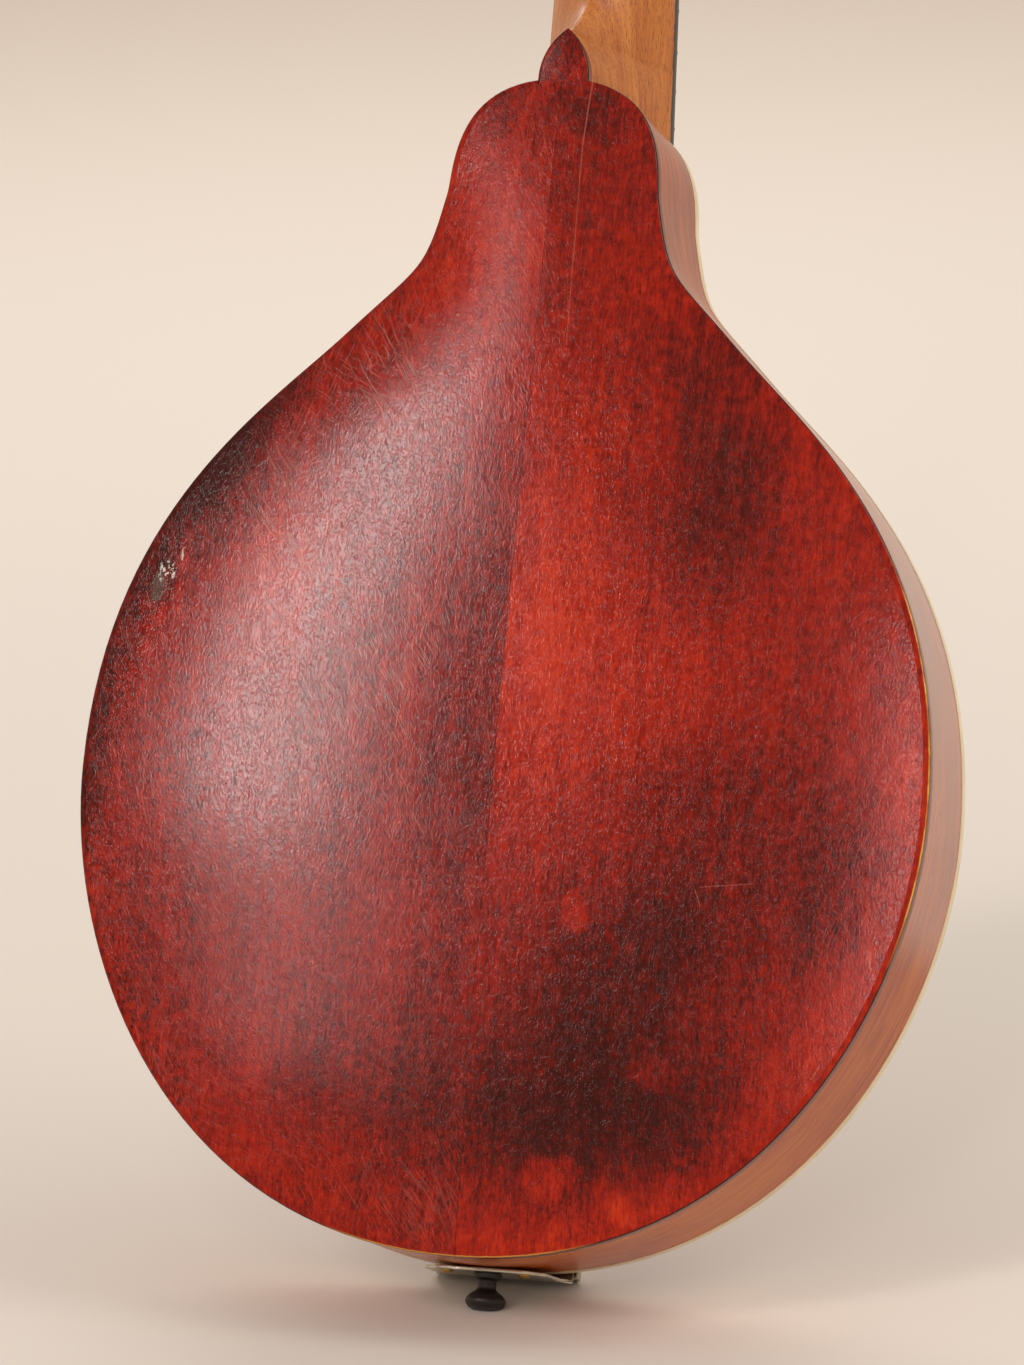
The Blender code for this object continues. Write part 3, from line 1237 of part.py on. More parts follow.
def make_tailpiece(material):
    """Bend the tailpiece over the tail and raise its eight string hooks."""
    outer = -FIT_GAP - TAIL_SHEET
    face = tail_point(0, 0, 0)
    bend = face.y + math.tan(tail_slope()) * FIT_GAP
    low = -PIN_OFFSET + TAIL_FLANGE_END
    round_start = -PIN_OFFSET + TAIL_FLANGE_ROUND
    flange_top = -FRONT_EDGE + TAIL_FLANGE_TOP
    tip, flange, sheet = TAIL_FLANGE_TIP / 2, TAIL_FLANGE_WIDTH / 2, TAIL_WIDTH / 2
    tip_out, tip_in = tail_point(0, TAIL_REACH, 0), tail_point(0, TAIL_REACH, -TAIL_SHEET)
    profile = ((low, outer, tip), (round_start, outer, flange), (flange_top, outer, flange),
               (bend + TAIL_BEND, outer, sheet), (bend, outer + TAIL_BEND_DROP, sheet),
               (tip_out.y, tip_out.z, sheet), (tip_in.y, tip_in.z, sheet),
               (bend + TAIL_SHEET + TAIL_BEND_INSIDE, -FIT_GAP, sheet), (flange_top, -FIT_GAP, flange),
               (round_start, -FIT_GAP, flange), (low, -FIT_GAP, tip))
    shape = skin([[Vector((side * half, y, z)) for y, z, half in profile] for side in (-1, 1)])
    tailpiece = make_piece("tailpiece", shape, material)
    hooks = []
    for i in range(8):
        bar = round_bar(ROUND_SIDES, ((-TAIL_SHEET / 2, HOOK_RADIUS), (HOOK_TOP, HOOK_RADIUS)))
        x = (i - 3.5) * HOOK_PITCH
        hooks.append(([v + Vector((x, HOOK_PLACE, 0)) for v in bar[0]], bar[1]))
    combine(tailpiece, "UNION", "tailpiece_hooks", join_shapes(hooks), tail_frame())
    combine(tailpiece, "DIFFERENCE", "tailpiece_pin_cutter", pin_bore())
    return tailpiece


def along_strings(x, out, along):
    """Place a point of the cover's section in the tailpiece's frame."""
    return Vector((x, along, out))


def make_tailpiece_cover(material):
    """Fold the cover whose lips slide along the edges of the tailpiece."""
    half = TAIL_WIDTH / 2 + RUN_GAP
    outer = half + COVER_SHEET
    under = -TAIL_SHEET - RUN_GAP
    low = under - COVER_SHEET
    cut = COVER_CHAMFER
    skin_cut = cut + COVER_SHEET * 0.4
    top = COVER_HEIGHT
    shell = [(-outer, low), (outer, low), (outer, top - skin_cut), (outer - skin_cut, top),
             (skin_cut - outer, top), (-outer, top - skin_cut)]
    gap = half - COVER_LIP
    ceiling = top - COVER_SHEET
    beyond = COVER_SHEET
    inside = [(-gap, low - beyond), (gap, low - beyond), (gap, under), (half, under), (half, ceiling - cut),
              (half - cut, ceiling), (cut - half, ceiling), (-half, ceiling - cut), (-half, under),
              (-gap, under)]
    frame = tail_frame()
    cover = make_piece("tailpiece_cover", extrude(shell, 0.0, COVER_LENGTH, along_strings), material, frame)
    combine(cover, "DIFFERENCE", "cover_inside_cutter",
            extrude(inside, COVER_SHEET, COVER_LENGTH + beyond, along_strings), frame)
    combine(cover, "DIFFERENCE", "cover_end_cutter",
            box_shape((-2 * outer, -beyond, 2 * low), (2 * outer, COVER_END_CLEAR, RUN_GAP)), frame)
    return cover


def pin_bore():
    """Return the hole for the end pin's shank."""
    radius = hole_radius(PIN_SHANK_RADIUS, FIT_GAP, PIN_SIDES)
    bar = round_bar(PIN_SIDES, ((-PIN_REACH, radius), (PIN_SHANK + FIT_GAP, radius)))
    return [v + Vector((0, -PIN_OFFSET, 0)) for v in bar[0]], bar[1]


def make_end_pin(material):
    """Turn the end pin: a knob with a flat face, a neck, a collar and a tapered shank."""
    seat = -FIT_GAP - TAIL_SHEET - FIT_GAP
    shape = round_bar(PIN_SIDES, (
        (-PIN_REACH, PIN_FACE_RADIUS), (-PIN_REACH + PIN_FACE_DROP, PIN_KNOB_RADIUS * 0.86),
        (-PIN_REACH + PIN_KNOB_PLACE, PIN_KNOB_RADIUS), (-PIN_REACH + PIN_KNOB_BACK, PIN_KNOB_RADIUS * 0.82),
        (-PIN_REACH + PIN_NECK_PLACE, PIN_NECK_RADIUS),
        (seat - PIN_COLLAR_WIDTH - PIN_COLLAR_SLOPE, PIN_NECK_RADIUS),
        (seat - PIN_COLLAR_WIDTH, PIN_COLLAR_RADIUS), (seat, PIN_COLLAR_RADIUS), (seat, PIN_SHANK_RADIUS),
        (PIN_SHANK, PIN_SHANK_END_RADIUS)))
    place = Matrix.Translation((0, -PIN_OFFSET, 0))
    return make_piece("end_pin", shape, material, place, 50)


def build():
    """Build the whole mandolin."""
    clear_scene()
    finishes = {
        "back": finish_material("red_birch_varnish", (0.145, 0.012, 0.006), 0.28),
        "top": finish_material("red_spruce_varnish", (0.15, 0.022, 0.008), 0.3),
        "rim": finish_material("brown_birch_varnish", (0.2, 0.055, 0.016), 0.22),
        "neck": finish_material("mahogany_varnish", (0.36, 0.12, 0.028), 0.3),
        "inner": finish_material("raw_spruce", (0.6, 0.42, 0.25), 0.75),
        "ebony": finish_material("ebony", (0.012, 0.01, 0.009), 0.4),
        "ivory": finish_material("ivory_celluloid", (0.75, 0.66, 0.45), 0.35),
        "bone": finish_material("bone", (0.8, 0.74, 0.6), 0.45),
        "nickel": finish_material("nickel_plate", (0.66, 0.63, 0.57), 0.25, 1.0),
        "brass": finish_material("gear_brass", (0.7, 0.5, 0.2), 0.35, 1.0),
        "steel": finish_material("string_steel", (0.6, 0.6, 0.6), 0.3, 1.0),
        "bronze": finish_material("string_bronze", (0.6, 0.38, 0.2), 0.35, 1.0),
    }
    strings = string_places()
    make_soundboard(finishes["top"])
    make_back_plate(finishes["back"])
    make_rim(finishes["rim"])
    make_lining("top_lining", -1, finishes["inner"])
    make_lining("back_lining", 1, finishes["inner"])
    make_binding(finishes["ivory"])
    make_neck_block(finishes["inner"])
    make_tail_block(finishes["inner"])
    make_tone_bar(finishes["inner"])
    make_fingerboard(finishes["ebony"])
    make_nut(strings, finishes["bone"])
    make_neck(finishes["neck"])
    make_veneer(finishes["ebony"])
    make_tuners(finishes)
    make_bridge_base(finishes["ebony"])
    make_bridge_saddle(strings, finishes["ebony"])
    make_tailpiece(finishes["nickel"])
    make_tailpiece_cover(finishes["nickel"])
    make_end_pin(finishes["ebony"])
    for string in strings:
        make_string(string, finishes["bronze" if string["wound"] else "steel"])


build()
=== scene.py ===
"""Looks of an a-style mandolin: fine shapes, finishes, floor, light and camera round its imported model.

The frame is the model's own: +Z runs up the neck, the soundboard faces -Y and the back faces +Y.
"""

import logging
import math
from collections.abc import Iterable
from dataclasses import dataclass, field
from enum import Enum

import bpy
import numpy as np
from mathutils import Matrix, Vector


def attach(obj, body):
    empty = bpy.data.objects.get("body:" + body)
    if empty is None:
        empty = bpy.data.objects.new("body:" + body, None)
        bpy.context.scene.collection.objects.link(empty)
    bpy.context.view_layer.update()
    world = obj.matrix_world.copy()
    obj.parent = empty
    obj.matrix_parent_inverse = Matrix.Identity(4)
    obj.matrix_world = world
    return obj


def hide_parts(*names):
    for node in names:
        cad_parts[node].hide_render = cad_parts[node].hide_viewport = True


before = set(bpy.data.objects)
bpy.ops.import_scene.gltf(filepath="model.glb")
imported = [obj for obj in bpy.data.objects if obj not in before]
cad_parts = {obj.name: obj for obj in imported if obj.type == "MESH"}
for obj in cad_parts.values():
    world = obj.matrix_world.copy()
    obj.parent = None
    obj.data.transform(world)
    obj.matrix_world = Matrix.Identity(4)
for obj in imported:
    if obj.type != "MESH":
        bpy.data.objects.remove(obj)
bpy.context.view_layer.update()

MM = 0.001
LOG = logging.getLogger("mandolin")

# Settings of nodes. A range maps inputs 1 to 2 onto 3 to 4. A colour mix lays input 7 over input 6
# by factor 0, and gives its colour as output 2.
ADD = {"operation": "ADD"}
MULTIPLY = {"operation": "MULTIPLY"}
SOFT = {"interpolation_type": "SMOOTHSTEP"}
# The values that noise mostly lies between
NOISE = {1: 0.3, 2: 0.7}

Piece = bpy.types.Object
Material = bpy.types.Material
Socket = bpy.types.NodeSocket


class Facing(Enum):
    """The side that a plate faces, as the sign of its Y."""

    FRONT = -1
    BACK = 1


class Half(Enum):
    """The half of the back that a patch of colour is limited to."""

    BOTH = 0
    BASS = -1
    TREBLE = 1


class Side(Enum):
    """A row of tuners, as the sign of its X."""

    bass = -1
    treble = 1


# Modelling helpers


def deselect_all() -> None:
    """Leave edit mode if need be and select nothing."""
    if bpy.context.object and bpy.context.object.mode != "OBJECT":
        bpy.ops.object.mode_set(mode="OBJECT")
    bpy.ops.object.select_all(action="DESELECT")


def activate(piece: Piece) -> None:
    """Make one piece the only selected and the active one."""
    deselect_all()
    piece.select_set(True)
    bpy.context.view_layer.objects.active = piece


def points_of(piece: Piece) -> np.ndarray:
    """Return a mesh's vertices as an array of rows of three."""
    flat = np.empty(len(piece.data.vertices) * 3)
    piece.data.vertices.foreach_get("co", flat)
    return flat.reshape(-1, 3)


def place_points(piece: Piece, points: np.ndarray) -> None:
    """Move a mesh's vertices to the rows of an array."""
    piece.data.vertices.foreach_set("co", np.asarray(points, dtype=float).ravel())
    piece.data.update()


def face_outwards(piece: Piece) -> None:
    """Turn all faces of a closed mesh outwards."""
    activate(piece)
    bpy.ops.object.mode_set(mode="EDIT")
    bpy.ops.mesh.select_all(action="SELECT")
    bpy.ops.mesh.normals_make_consistent(inside=False)
    bpy.ops.object.mode_set(mode="OBJECT")


def smooth(piece: Piece, degrees: float = 30.0) -> None:
    """Shade a piece smooth, with its edges past an angle left sharp."""
    activate(piece)
    bpy.ops.object.shade_smooth_by_angle(angle=math.radians(degrees))


def finish_modifier(piece: Piece, kind: str, settings: dict) -> None:
    """Add a modifier with its settings and apply it.

    Args:
        piece: the object it works on.
        kind: Blender's name of the modifier's type.
        settings: its properties by name.
    """
    activate(piece)
    modifier = piece.modifiers.new(kind.lower(), kind)
    for key, value in settings.items():
        setattr(modifier, key, value)
    bpy.ops.object.modifier_apply(modifier=modifier.name)


def join(pieces: list[Piece], name: str) -> Piece:
    """Join several meshes into one object of a name."""
    deselect_all()
    for piece in pieces:
        piece.select_set(True)
    bpy.context.view_layer.objects.active = pieces[0]
    if len(pieces) > 1:
        bpy.ops.object.join()
    pieces[0].name = name
    pieces[0].data.name = name
    return pieces[0]


def loft(name: str, rings: np.ndarray, start: Vector | None = None, end: Vector | None = None,
         band: bool = False) -> Piece:
    """Extrude a circle through rings of points, closed at both ends or into a band.

    Args:
        name: the new object's name.
        rings: an array of levels, points round each level, and coordinates.
        start: a point that closes the first ring; a flat face closes it where None.
        end: a point that closes the last ring, likewise.
        band: whether the last ring joins the first one instead.

    Returns:
        The object, at the origin, with its faces turned outwards.
    """
    levels, count = rings.shape[:2]
    deselect_all()
    bpy.ops.mesh.primitive_circle_add(vertices=count, radius=1.0, fill_type="NOTHING" if band else "NGON")
    piece = bpy.context.object
    piece.name = name
    piece.data.name = name
    bpy.ops.object.mode_set(mode="EDIT")
    bpy.ops.mesh.select_all(action="SELECT")
    for _ in range(levels - 1):
        bpy.ops.mesh.extrude_region_move(TRANSFORM_OT_translate={"value": (0, 0, 1)})
    if not band and (start is not None or end is not None):
        bpy.ops.object.mode_set(mode="OBJECT")
        for face in piece.data.polygons:
            first = face.center.z < 0.5
            face.select = len(face.vertices) == count > 4 and (start if first else end) is not None
        bpy.ops.object.mode_set(mode="EDIT")
        bpy.ops.mesh.select_mode(type="FACE")
        bpy.ops.mesh.poke()
        bpy.ops.mesh.select_mode(type="VERT")
    bpy.ops.object.mode_set(mode="OBJECT")
    flat = points_of(piece)
    level = np.rint(flat[:, 2]).astype(int)
    turn = np.arctan2(flat[:, 1], flat[:, 0]) - math.pi / 2
    index = np.rint(turn / math.tau * count).astype(int) % count
    placed = rings[level, index]
    poles = np.hypot(flat[:, 0], flat[:, 1]) < 0.5
    for row in np.flatnonzero(poles):
        placed[row] = start if level[row] == 0 and start is not None else end
    place_points(piece, placed)
    if band:
        bpy.ops.object.mode_set(mode="EDIT")
        bpy.ops.mesh.select_mode(type="EDGE")
        bpy.ops.mesh.select_all(action="DESELECT")
        bpy.ops.mesh.select_non_manifold()
        bpy.ops.mesh.bridge_edge_loops()
        bpy.ops.mesh.select_mode(type="VERT")
        bpy.ops.object.mode_set(mode="OBJECT")
    face_outwards(piece)
    return piece


def lathe(name: str, profile: Iterable[tuple[float, float]], place: Matrix, sides: int = 32) -> Piece:
    """Turn a closed round piece from stations along its axis.

    Args:
        name: the new object's name.
        profile: (distance along local Z, radius) stations.
        place: the matrix that carries local coordinates to the frame.
        sides: points round each ring.

    Returns:
        The turned object.
    """
    angles = np.arange(sides) * math.tau / sides
    rings = []
    for distance, radius in profile:
        local = [place @ Vector((radius * math.cos(a), radius * math.sin(a), distance)) for a in angles]
        rings.append([tuple(point) for point in local])
    return loft(name, np.array(rings))


def cut(piece: Piece, tool: Piece, operation: str = "DIFFERENCE") -> None:
    """Combine a piece with a tool by an exact Boolean, then remove the tool."""
    finish_modifier(piece, "BOOLEAN", {"operation": operation, "solver": "EXACT", "object": tool})
    bpy.data.objects.remove(tool, do_unlink=True)


def refined_copy(node: str, name: str, width: float, segments: int = 3, degrees: float = 28.0) -> Piece:
    """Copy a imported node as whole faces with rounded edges.

    Args:
        node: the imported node's name.
        name: the copy's name.
        width: the rounding's width in metres.
        segments: faces across the rounding.
        degrees: the least angle between faces that is rounded.

    Returns:
        The copy, which has no material yet.
    """
    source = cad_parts[node]
    piece = source.copy()
    piece.data = source.data.copy()
    piece.parent = None
    piece.name = name
    piece.data.name = name
    for key in [key for key in piece.keys() if key.startswith("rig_")]:
        del piece[key]
    bpy.context.scene.collection.objects.link(piece)
    piece.data.materials.clear()
    activate(piece)
    bpy.ops.object.mode_set(mode="EDIT")
    bpy.ops.mesh.select_all(action="SELECT")
    bpy.ops.mesh.remove_doubles(threshold=0.002 * MM)
    bpy.ops.mesh.dissolve_limited(angle_limit=math.radians(1.0))
    bpy.ops.mesh.customdata_custom_splitnormals_clear()
    bpy.ops.object.mode_set(mode="OBJECT")
    if width > 0:
        finish_modifier(piece, "BEVEL", {"width": width, "segments": segments, "limit_method": "ANGLE",
                                         "angle_limit": math.radians(degrees), "harden_normals": False,
                                         "use_clamp_overlap": True})
    smooth(piece, 35.0)
    return piece


def set_attribute(piece: Piece, name: str, values: np.ndarray) -> None:
    """Keep one number for each vertex under a name that a material reads."""
    attribute = piece.data.attributes.new(name, "FLOAT", "POINT")
    attribute.data.foreach_set("value", np.asarray(values, dtype=np.float32))


def dress(piece: Piece, material: Material, body: str = "root",
          stands_for: Iterable[str] = ()) -> Piece:
    """Give a finished piece its material and body, and name the nodes it stands for."""
    piece.data.materials.clear()
    piece.data.materials.append(material)
    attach(piece, body)
    nodes = tuple(stands_for)
    if nodes:
        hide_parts(*nodes)
    LOG.info("%s rides on %s, finish %s, stands for %s", piece.name, body, material.name, nodes)
    return piece


# Body


def curve_span(start: Vector, start_handle: Vector, end_handle: Vector, end: Vector,
               shares: Iterable[float]) -> list[tuple[Vector, Vector]]:
    """Return (point, tangent) pairs at shares of one Bezier span."""
    pairs = []
    for t in shares:
        s = 1 - t
        point = s ** 3 * start + 3 * s * s * t * start_handle + 3 * s * t * t * end_handle + t ** 3 * end
        tangent = (s * s * (start_handle - start) + 2 * s * t * (end_handle - start_handle)
                   + t * t * (end - end_handle))
        pairs.append((point, tangent.normalized()))
    return pairs


@dataclass(frozen=True)
class BodyForm:
    """The body's outline and arches, in the sizes that the solids are built from."""

    length: float = 343.0 * MM
    width: float = 250.6 * MM
    widest_height: float = 134.5 * MM
    tail_roundness: float = 87.2 * MM
    bout_roundness: tuple[float, float] = (55.7 * MM, 77.0 * MM)
    flank: tuple[float, float] = (58.1 * MM, 77.6 * MM)
    flank_angle: float = math.radians(43.8)
    flank_roundness: tuple[float, float] = (31.6 * MM, 30.2 * MM)
    shoulder: tuple[float, float] = (31.7 * MM, 35.0 * MM)
    shoulder_angle: float = math.radians(11.3)
    shoulder_roundness: tuple[float, float] = (25.1 * MM, 6.6 * MM)
    neck_end_roundness: float = 33.1 * MM
    arch_centre: float = 140.0 * MM
    arch_rounding: float = 2.3
    half_depth: float = 21.75 * MM
    plate_edge: float = 4.5 * MM
    overhang: float = 0.2 * MM
    rim_wall: float = 2.5 * MM
    glue_scale: float = 0.9384
    button_width: float = 15.2 * MM
    button_length: float = 15.2 * MM
    steps: tuple[int, ...] = (36, 30, 14, 24, 16)

    @property
    def edge_level(self) -> float:
        """Distance of a plate's edge face from the middle of the rim."""
        return self.half_depth + self.plate_edge

    def half_outline(self, steps: tuple[int, ...]) -> list[tuple[Vector, Vector]]:
        """Return (point, tangent) pairs of (x, z) from the tail up to the neck end."""
        across, up = Vector((1, 0)), Vector((0, 1))
        tail, top = Vector((0, 0)), Vector((0, self.length))
        widest = Vector((self.width / 2, self.widest_height))
        flank = Vector((self.flank[0], self.length - self.flank[1]))
        shoulder = Vector((self.shoulder[0], self.length - self.shoulder[1]))
        flank_way = Vector((-math.sin(self.flank_angle), math.cos(self.flank_angle)))
        shoulder_way = Vector((-math.sin(self.shoulder_angle), math.cos(self.shoulder_angle)))
        spans = (
            (tail, tail + across * self.tail_roundness, widest - up * self.bout_roundness[0], widest),
            (widest, widest + up * self.bout_roundness[1],
             flank - flank_way * self.flank_roundness[0], flank),
            (flank, flank + flank_way * self.flank_roundness[1],
             shoulder - shoulder_way * self.shoulder_roundness[0], shoulder),
            (shoulder, shoulder + shoulder_way * self.shoulder_roundness[1],
             top + across * self.neck_end_roundness, top),
        )
        pairs = []
        for span, count in zip(spans[:3], steps[:3]):
            pairs += curve_span(*span, [i / count for i in range(count)])
        root = self.root_share(spans[3])
        pairs += curve_span(*spans[3], [root * i / steps[3] for i in range(steps[3])])
        pairs += curve_span(*spans[3], [root + (1 - root) * i / steps[4] for i in range(steps[4])])
        return pairs + [(top, -across)]

    def root_share(self, span: tuple[Vector, ...]) -> float:
        """Return the share of the neck end's span where the heel button's side stands."""
        low, high = 0.0, 1.0
        for _ in range(40):
            middle = (low + high) / 2
            if curve_span(*span, [middle])[0][0].x > self.button_width / 2:
                low = middle
            else:
                high = middle
        return low

    def outline(self, inset: float = 0.0, steps: tuple[int, ...] | None = None) -> np.ndarray:
        """Return the outline as (x, z) rows, moved inwards by an inset."""
        pairs = self.half_outline(steps or self.steps)
        right = [point + Vector((-tangent.y, tangent.x)) * inset for point, tangent in pairs]
        left = [Vector((-point.x, point.y)) for point in right[-2:0:-1]]
        return np.array([tuple(point) for point in right + left])

    def button_outline(self, inset: float = 0.0) -> np.ndarray:
        """Return the outline with the heel button's pointed arch on its neck end."""
        rows = self.outline(inset)
        count = self.steps[4]
        first = sum(self.steps[:4])
        radius = self.button_radius - inset
        offset = self.button_radius - self.button_width / 2
        for k in range(2 * count + 1):
            up = 1 - abs(k / count - 1)
            angle = up * math.acos(offset / radius)
            x = radius * math.cos(angle) - offset
            root = rows[first, 1] if k in (0, 2 * count) else self.length
            rows[first + k] = (x if k <= count else -x, root + radius * math.sin(angle))
        return rows

    @property
    def button_radius(self) -> float:
        """Radius of the two arcs that meet in the heel button's tip."""
        return (self.button_length ** 2 + (self.button_width / 2) ** 2) / self.button_width

    def egg_share(self, offsets: np.ndarray) -> np.ndarray:
        """Return offsets from the arch's middle as shares of an egg shape's reach."""
        tall = np.where(offsets[:, 1] > 0, self.length - self.arch_centre, self.arch_centre)
        return np.hypot(offsets[:, 0] / (self.width / 2), offsets[:, 1] / tall)

    def contour(self, scale: float, level: float, facing: Facing) -> np.ndarray:
        """Return one contour of an arch as rows of x, y and z."""
        centre = np.array((0.0, self.arch_centre))
        offsets = self.outline() - centre
        turn = 1 - (1 - min(1.0, scale / self.glue_scale) ** self.arch_rounding) ** 2
        slimness = 1 / self.egg_share(offsets)
        rows = centre + offsets * (scale * (turn + (1 - turn) * slimness))[:, None]
        return self.at_level(rows, level, facing)

    def at_level(self, rows: np.ndarray, level: float | np.ndarray, facing: Facing) -> np.ndarray:
        """Return (x, z) rows as points at a distance from the rim's middle."""
        return np.column_stack((rows[:, 0], np.full(len(rows), facing.value) * level, rows[:, 1]))

    def edge_place(self, points: np.ndarray) -> np.ndarray:
        """Return how far in from the outline points lie, less their drop below the edge's level."""
        line = self.button_outline()
        starts, ends = line, np.roll(line, -1, axis=0)
        ways = ends - starts
        flat = points[:, (0, 2)]
        nearest = np.full(len(flat), 1.0)
        for start, way in zip(starts, ways):
            size = float(way @ way)
            if size < 1e-14:
                continue
            share = np.clip((flat - start) @ way / size, 0, 1)
            nearest = np.minimum(nearest, np.linalg.norm(flat - start - share[:, None] * way, axis=1))
        return nearest - np.maximum(0.0, self.edge_level - np.abs(points[:, 1]))


@dataclass
class CarvedPlate:
    """A carved plate, arched outside and hollowed inside, with a rounded edge."""

    form: BodyForm
    facing: Facing
    crown: float
    wall: float
    fullness: float
    hollow_fullness: float
    edge_radius: float
    binding: tuple[float, float] | None = None
    edge_facets: int = 5
    even_from: float = 185.0 * MM
    even_full: float = 250.0 * MM
    outer_scales: tuple[float, ...] = (0.955, 0.93, 0.9, 0.86, 0.82, 0.77, 0.72, 0.66, 0.6, 0.54, 0.47, 0.4,
                                       0.33, 0.26, 0.19, 0.12, 0.06)
    inner_scales: tuple[float, ...] = (0.12, 0.25, 0.4, 0.55, 0.68, 0.79, 0.87)

    def outer_level(self, scale: float) -> float:
        """Return the outer face's distance from the rim's middle at a contour."""
        rise = self.crown - self.form.plate_edge
        return self.form.edge_level + rise * (1 - scale ** self.fullness)

    def inner_level(self, scale: float) -> float:
        """Return the hollow's distance from the rim's middle at a contour."""
        fall = min(1.0, scale / self.form.glue_scale) ** self.hollow_fullness
        return self.form.half_depth + (self.crown - self.wall) * (1 - fall)

    def share(self, rows: np.ndarray) -> np.ndarray:
        """Return how far (x, z) rows lie out towards the outline, 1 on it."""
        centre = np.array((0.0, self.form.arch_centre))
        line = self.form.outline(steps=(90, 80, 40, 60, 30)) - centre
        turns = np.unwrap(np.arctan2(line[:, 1], line[:, 0]))
        reach = np.hypot(line[:, 0], line[:, 1])
        offsets = rows - centre
        angles = np.arctan2(offsets[:, 1], offsets[:, 0])
        angles = np.where(angles < turns[0], angles + math.tau, angles)
        return np.hypot(offsets[:, 0], offsets[:, 1]) / np.interp(angles, turns, reach)

    def edge_rings(self) -> list[np.ndarray]:
        """Return the rings of the glue face, the edge face and the rounded edge."""
        form = self.form
        outline = form.button_outline if self.facing is Facing.BACK else form.outline
        low = form.half_depth
        top = form.edge_level
        rings = [form.at_level(form.outline(4.0 * MM), low, self.facing)]
        rings += [form.at_level(outline(0.1 * MM), low, self.facing),
                  form.at_level(outline(0.0), low + 0.1 * MM, self.facing)]
        if self.binding:
            width, height = self.binding
            inset = width + 0.1 * MM
            rings += [form.at_level(outline(0.0), top - height, self.facing),
                      form.at_level(outline(width), top - height, self.facing),
                      form.at_level(outline(width), top - 0.1 * MM, self.facing),
                      form.at_level(outline(inset), top, self.facing)]
            insets = (inset + 0.6 * MM, inset + 1.6 * MM, inset + 3.2 * MM)
        else:
            for i in range(self.edge_facets + 1):
                angle = math.pi / 2 * i / self.edge_facets
                drawn = self.edge_radius * (1 - math.cos(angle))
                level = top - self.edge_radius * (1 - math.sin(angle))
                rings.append(form.at_level(outline(drawn), level, self.facing))
            insets = tuple(self.edge_radius + more * MM for more in (0.5, 1.1, 2.0, 3.6))
        for more in insets:
            rows = form.outline(more)
            levels = top + (self.crown - form.plate_edge) * (1 - self.share(rows) ** self.fullness)
            rings.append(self.evened(form.at_level(rows, levels, self.facing)))
        return rings

    def evened(self, ring: np.ndarray) -> np.ndarray:
        """Return an outer ring of the back with one even curve across it towards the neck."""
        if self.facing is Facing.FRONT:
            return ring
        form = self.form
        side = np.array([tuple(point) for point, _ in form.half_outline(form.steps)])
        upper = side[side[:, 1] >= form.arch_centre]
        half = np.maximum(np.interp(ring[:, 2], upper[:, 1], upper[:, 0]), 1.0 * MM)
        along = np.clip((ring[:, 2] - form.arch_centre) / (form.length - form.arch_centre), 0, 1)
        rise = (self.crown - form.plate_edge) * (1 - along ** self.fullness)
        across = form.edge_level + rise * (1 - np.minimum(1.0, np.abs(ring[:, 0]) / half) ** 2)
        share = np.clip((ring[:, 2] - self.even_from) / (self.even_full - self.even_from), 0, 1)
        share = share * share * (3 - 2 * share)
        levels = np.abs(ring[:, 1]) * (1 - share) + across * share
        return form.at_level(ring[:, (0, 2)], levels, self.facing)

    def build(self, name: str) -> Piece:
        """Return the finished plate."""
        form = self.form
        rings = [form.contour(s, self.inner_level(s), self.facing) for s in self.inner_scales]
        rings += self.edge_rings()
        rings += [self.evened(form.contour(s, self.outer_level(s), self.facing)) for s in self.outer_scales]
        sign = self.facing.value
        start = Vector((0, sign * self.inner_level(0.0), form.arch_centre))
        end = Vector((0, sign * self.outer_level(0.0), form.arch_centre))
        return loft(name, np.array(rings), start, end)


# Finishes


def hex_linear(code: str) -> tuple[float, float, float, float]:
    """Turn an sRGB hex colour into linear red, green, blue and alpha."""
    channels = [int(code[i:i + 2], 16) / 255 for i in (1, 3, 5)]
    linear = [c / 12.92 if c <= 0.04045 else ((c + 0.055) / 1.055) ** 2.4 for c in channels]
    return (linear[0], linear[1], linear[2], 1.0)


class NodeSheet:
    """A node tree while nodes are added to it."""

    def __init__(self, tree: bpy.types.NodeTree) -> None:
        """Start from a tree and the nodes that it has."""
        self.tree = tree

    def add(self, kind: str, settings: dict | None = None, links: dict | None = None,
            take: int | str = 0) -> Socket:
        """Add a node with its settings and links.

        Args:
            kind: the node's type, without its ShaderNode prefix.
            settings: its properties and unlinked inputs, properties first; stops fills a ramp.
            links: its inputs by name or number, each with the socket that feeds it.
            take: the output to return.

        Returns:
            The chosen output socket.
        """
        node = self.tree.nodes.new("ShaderNode" + kind)
        for key, value in (settings or {}).items():
            if key == "stops":
                ramp = node.color_ramp
                while len(ramp.elements) < len(value):
                    ramp.elements.new(0.5)
                for element, (position, colour) in zip(ramp.elements, value):
                    element.position = position
                    element.color = hex_linear(colour)
            elif isinstance(key, int) or key in node.inputs:
                node.inputs[key].default_value = value
            else:
                setattr(node, key, value)
        for key, socket in (links or {}).items():
            self.tree.links.new(socket, node.inputs[key])
        return node.outputs[take]

    def chained(self, kind: str, settings: dict, first: Socket, *others: Socket) -> Socket:
        """Return what a row of alike nodes makes of its first input and each further one in turn."""
        for other in others:
            first = self.add(kind, settings, {0: first, 1: other})
        return first


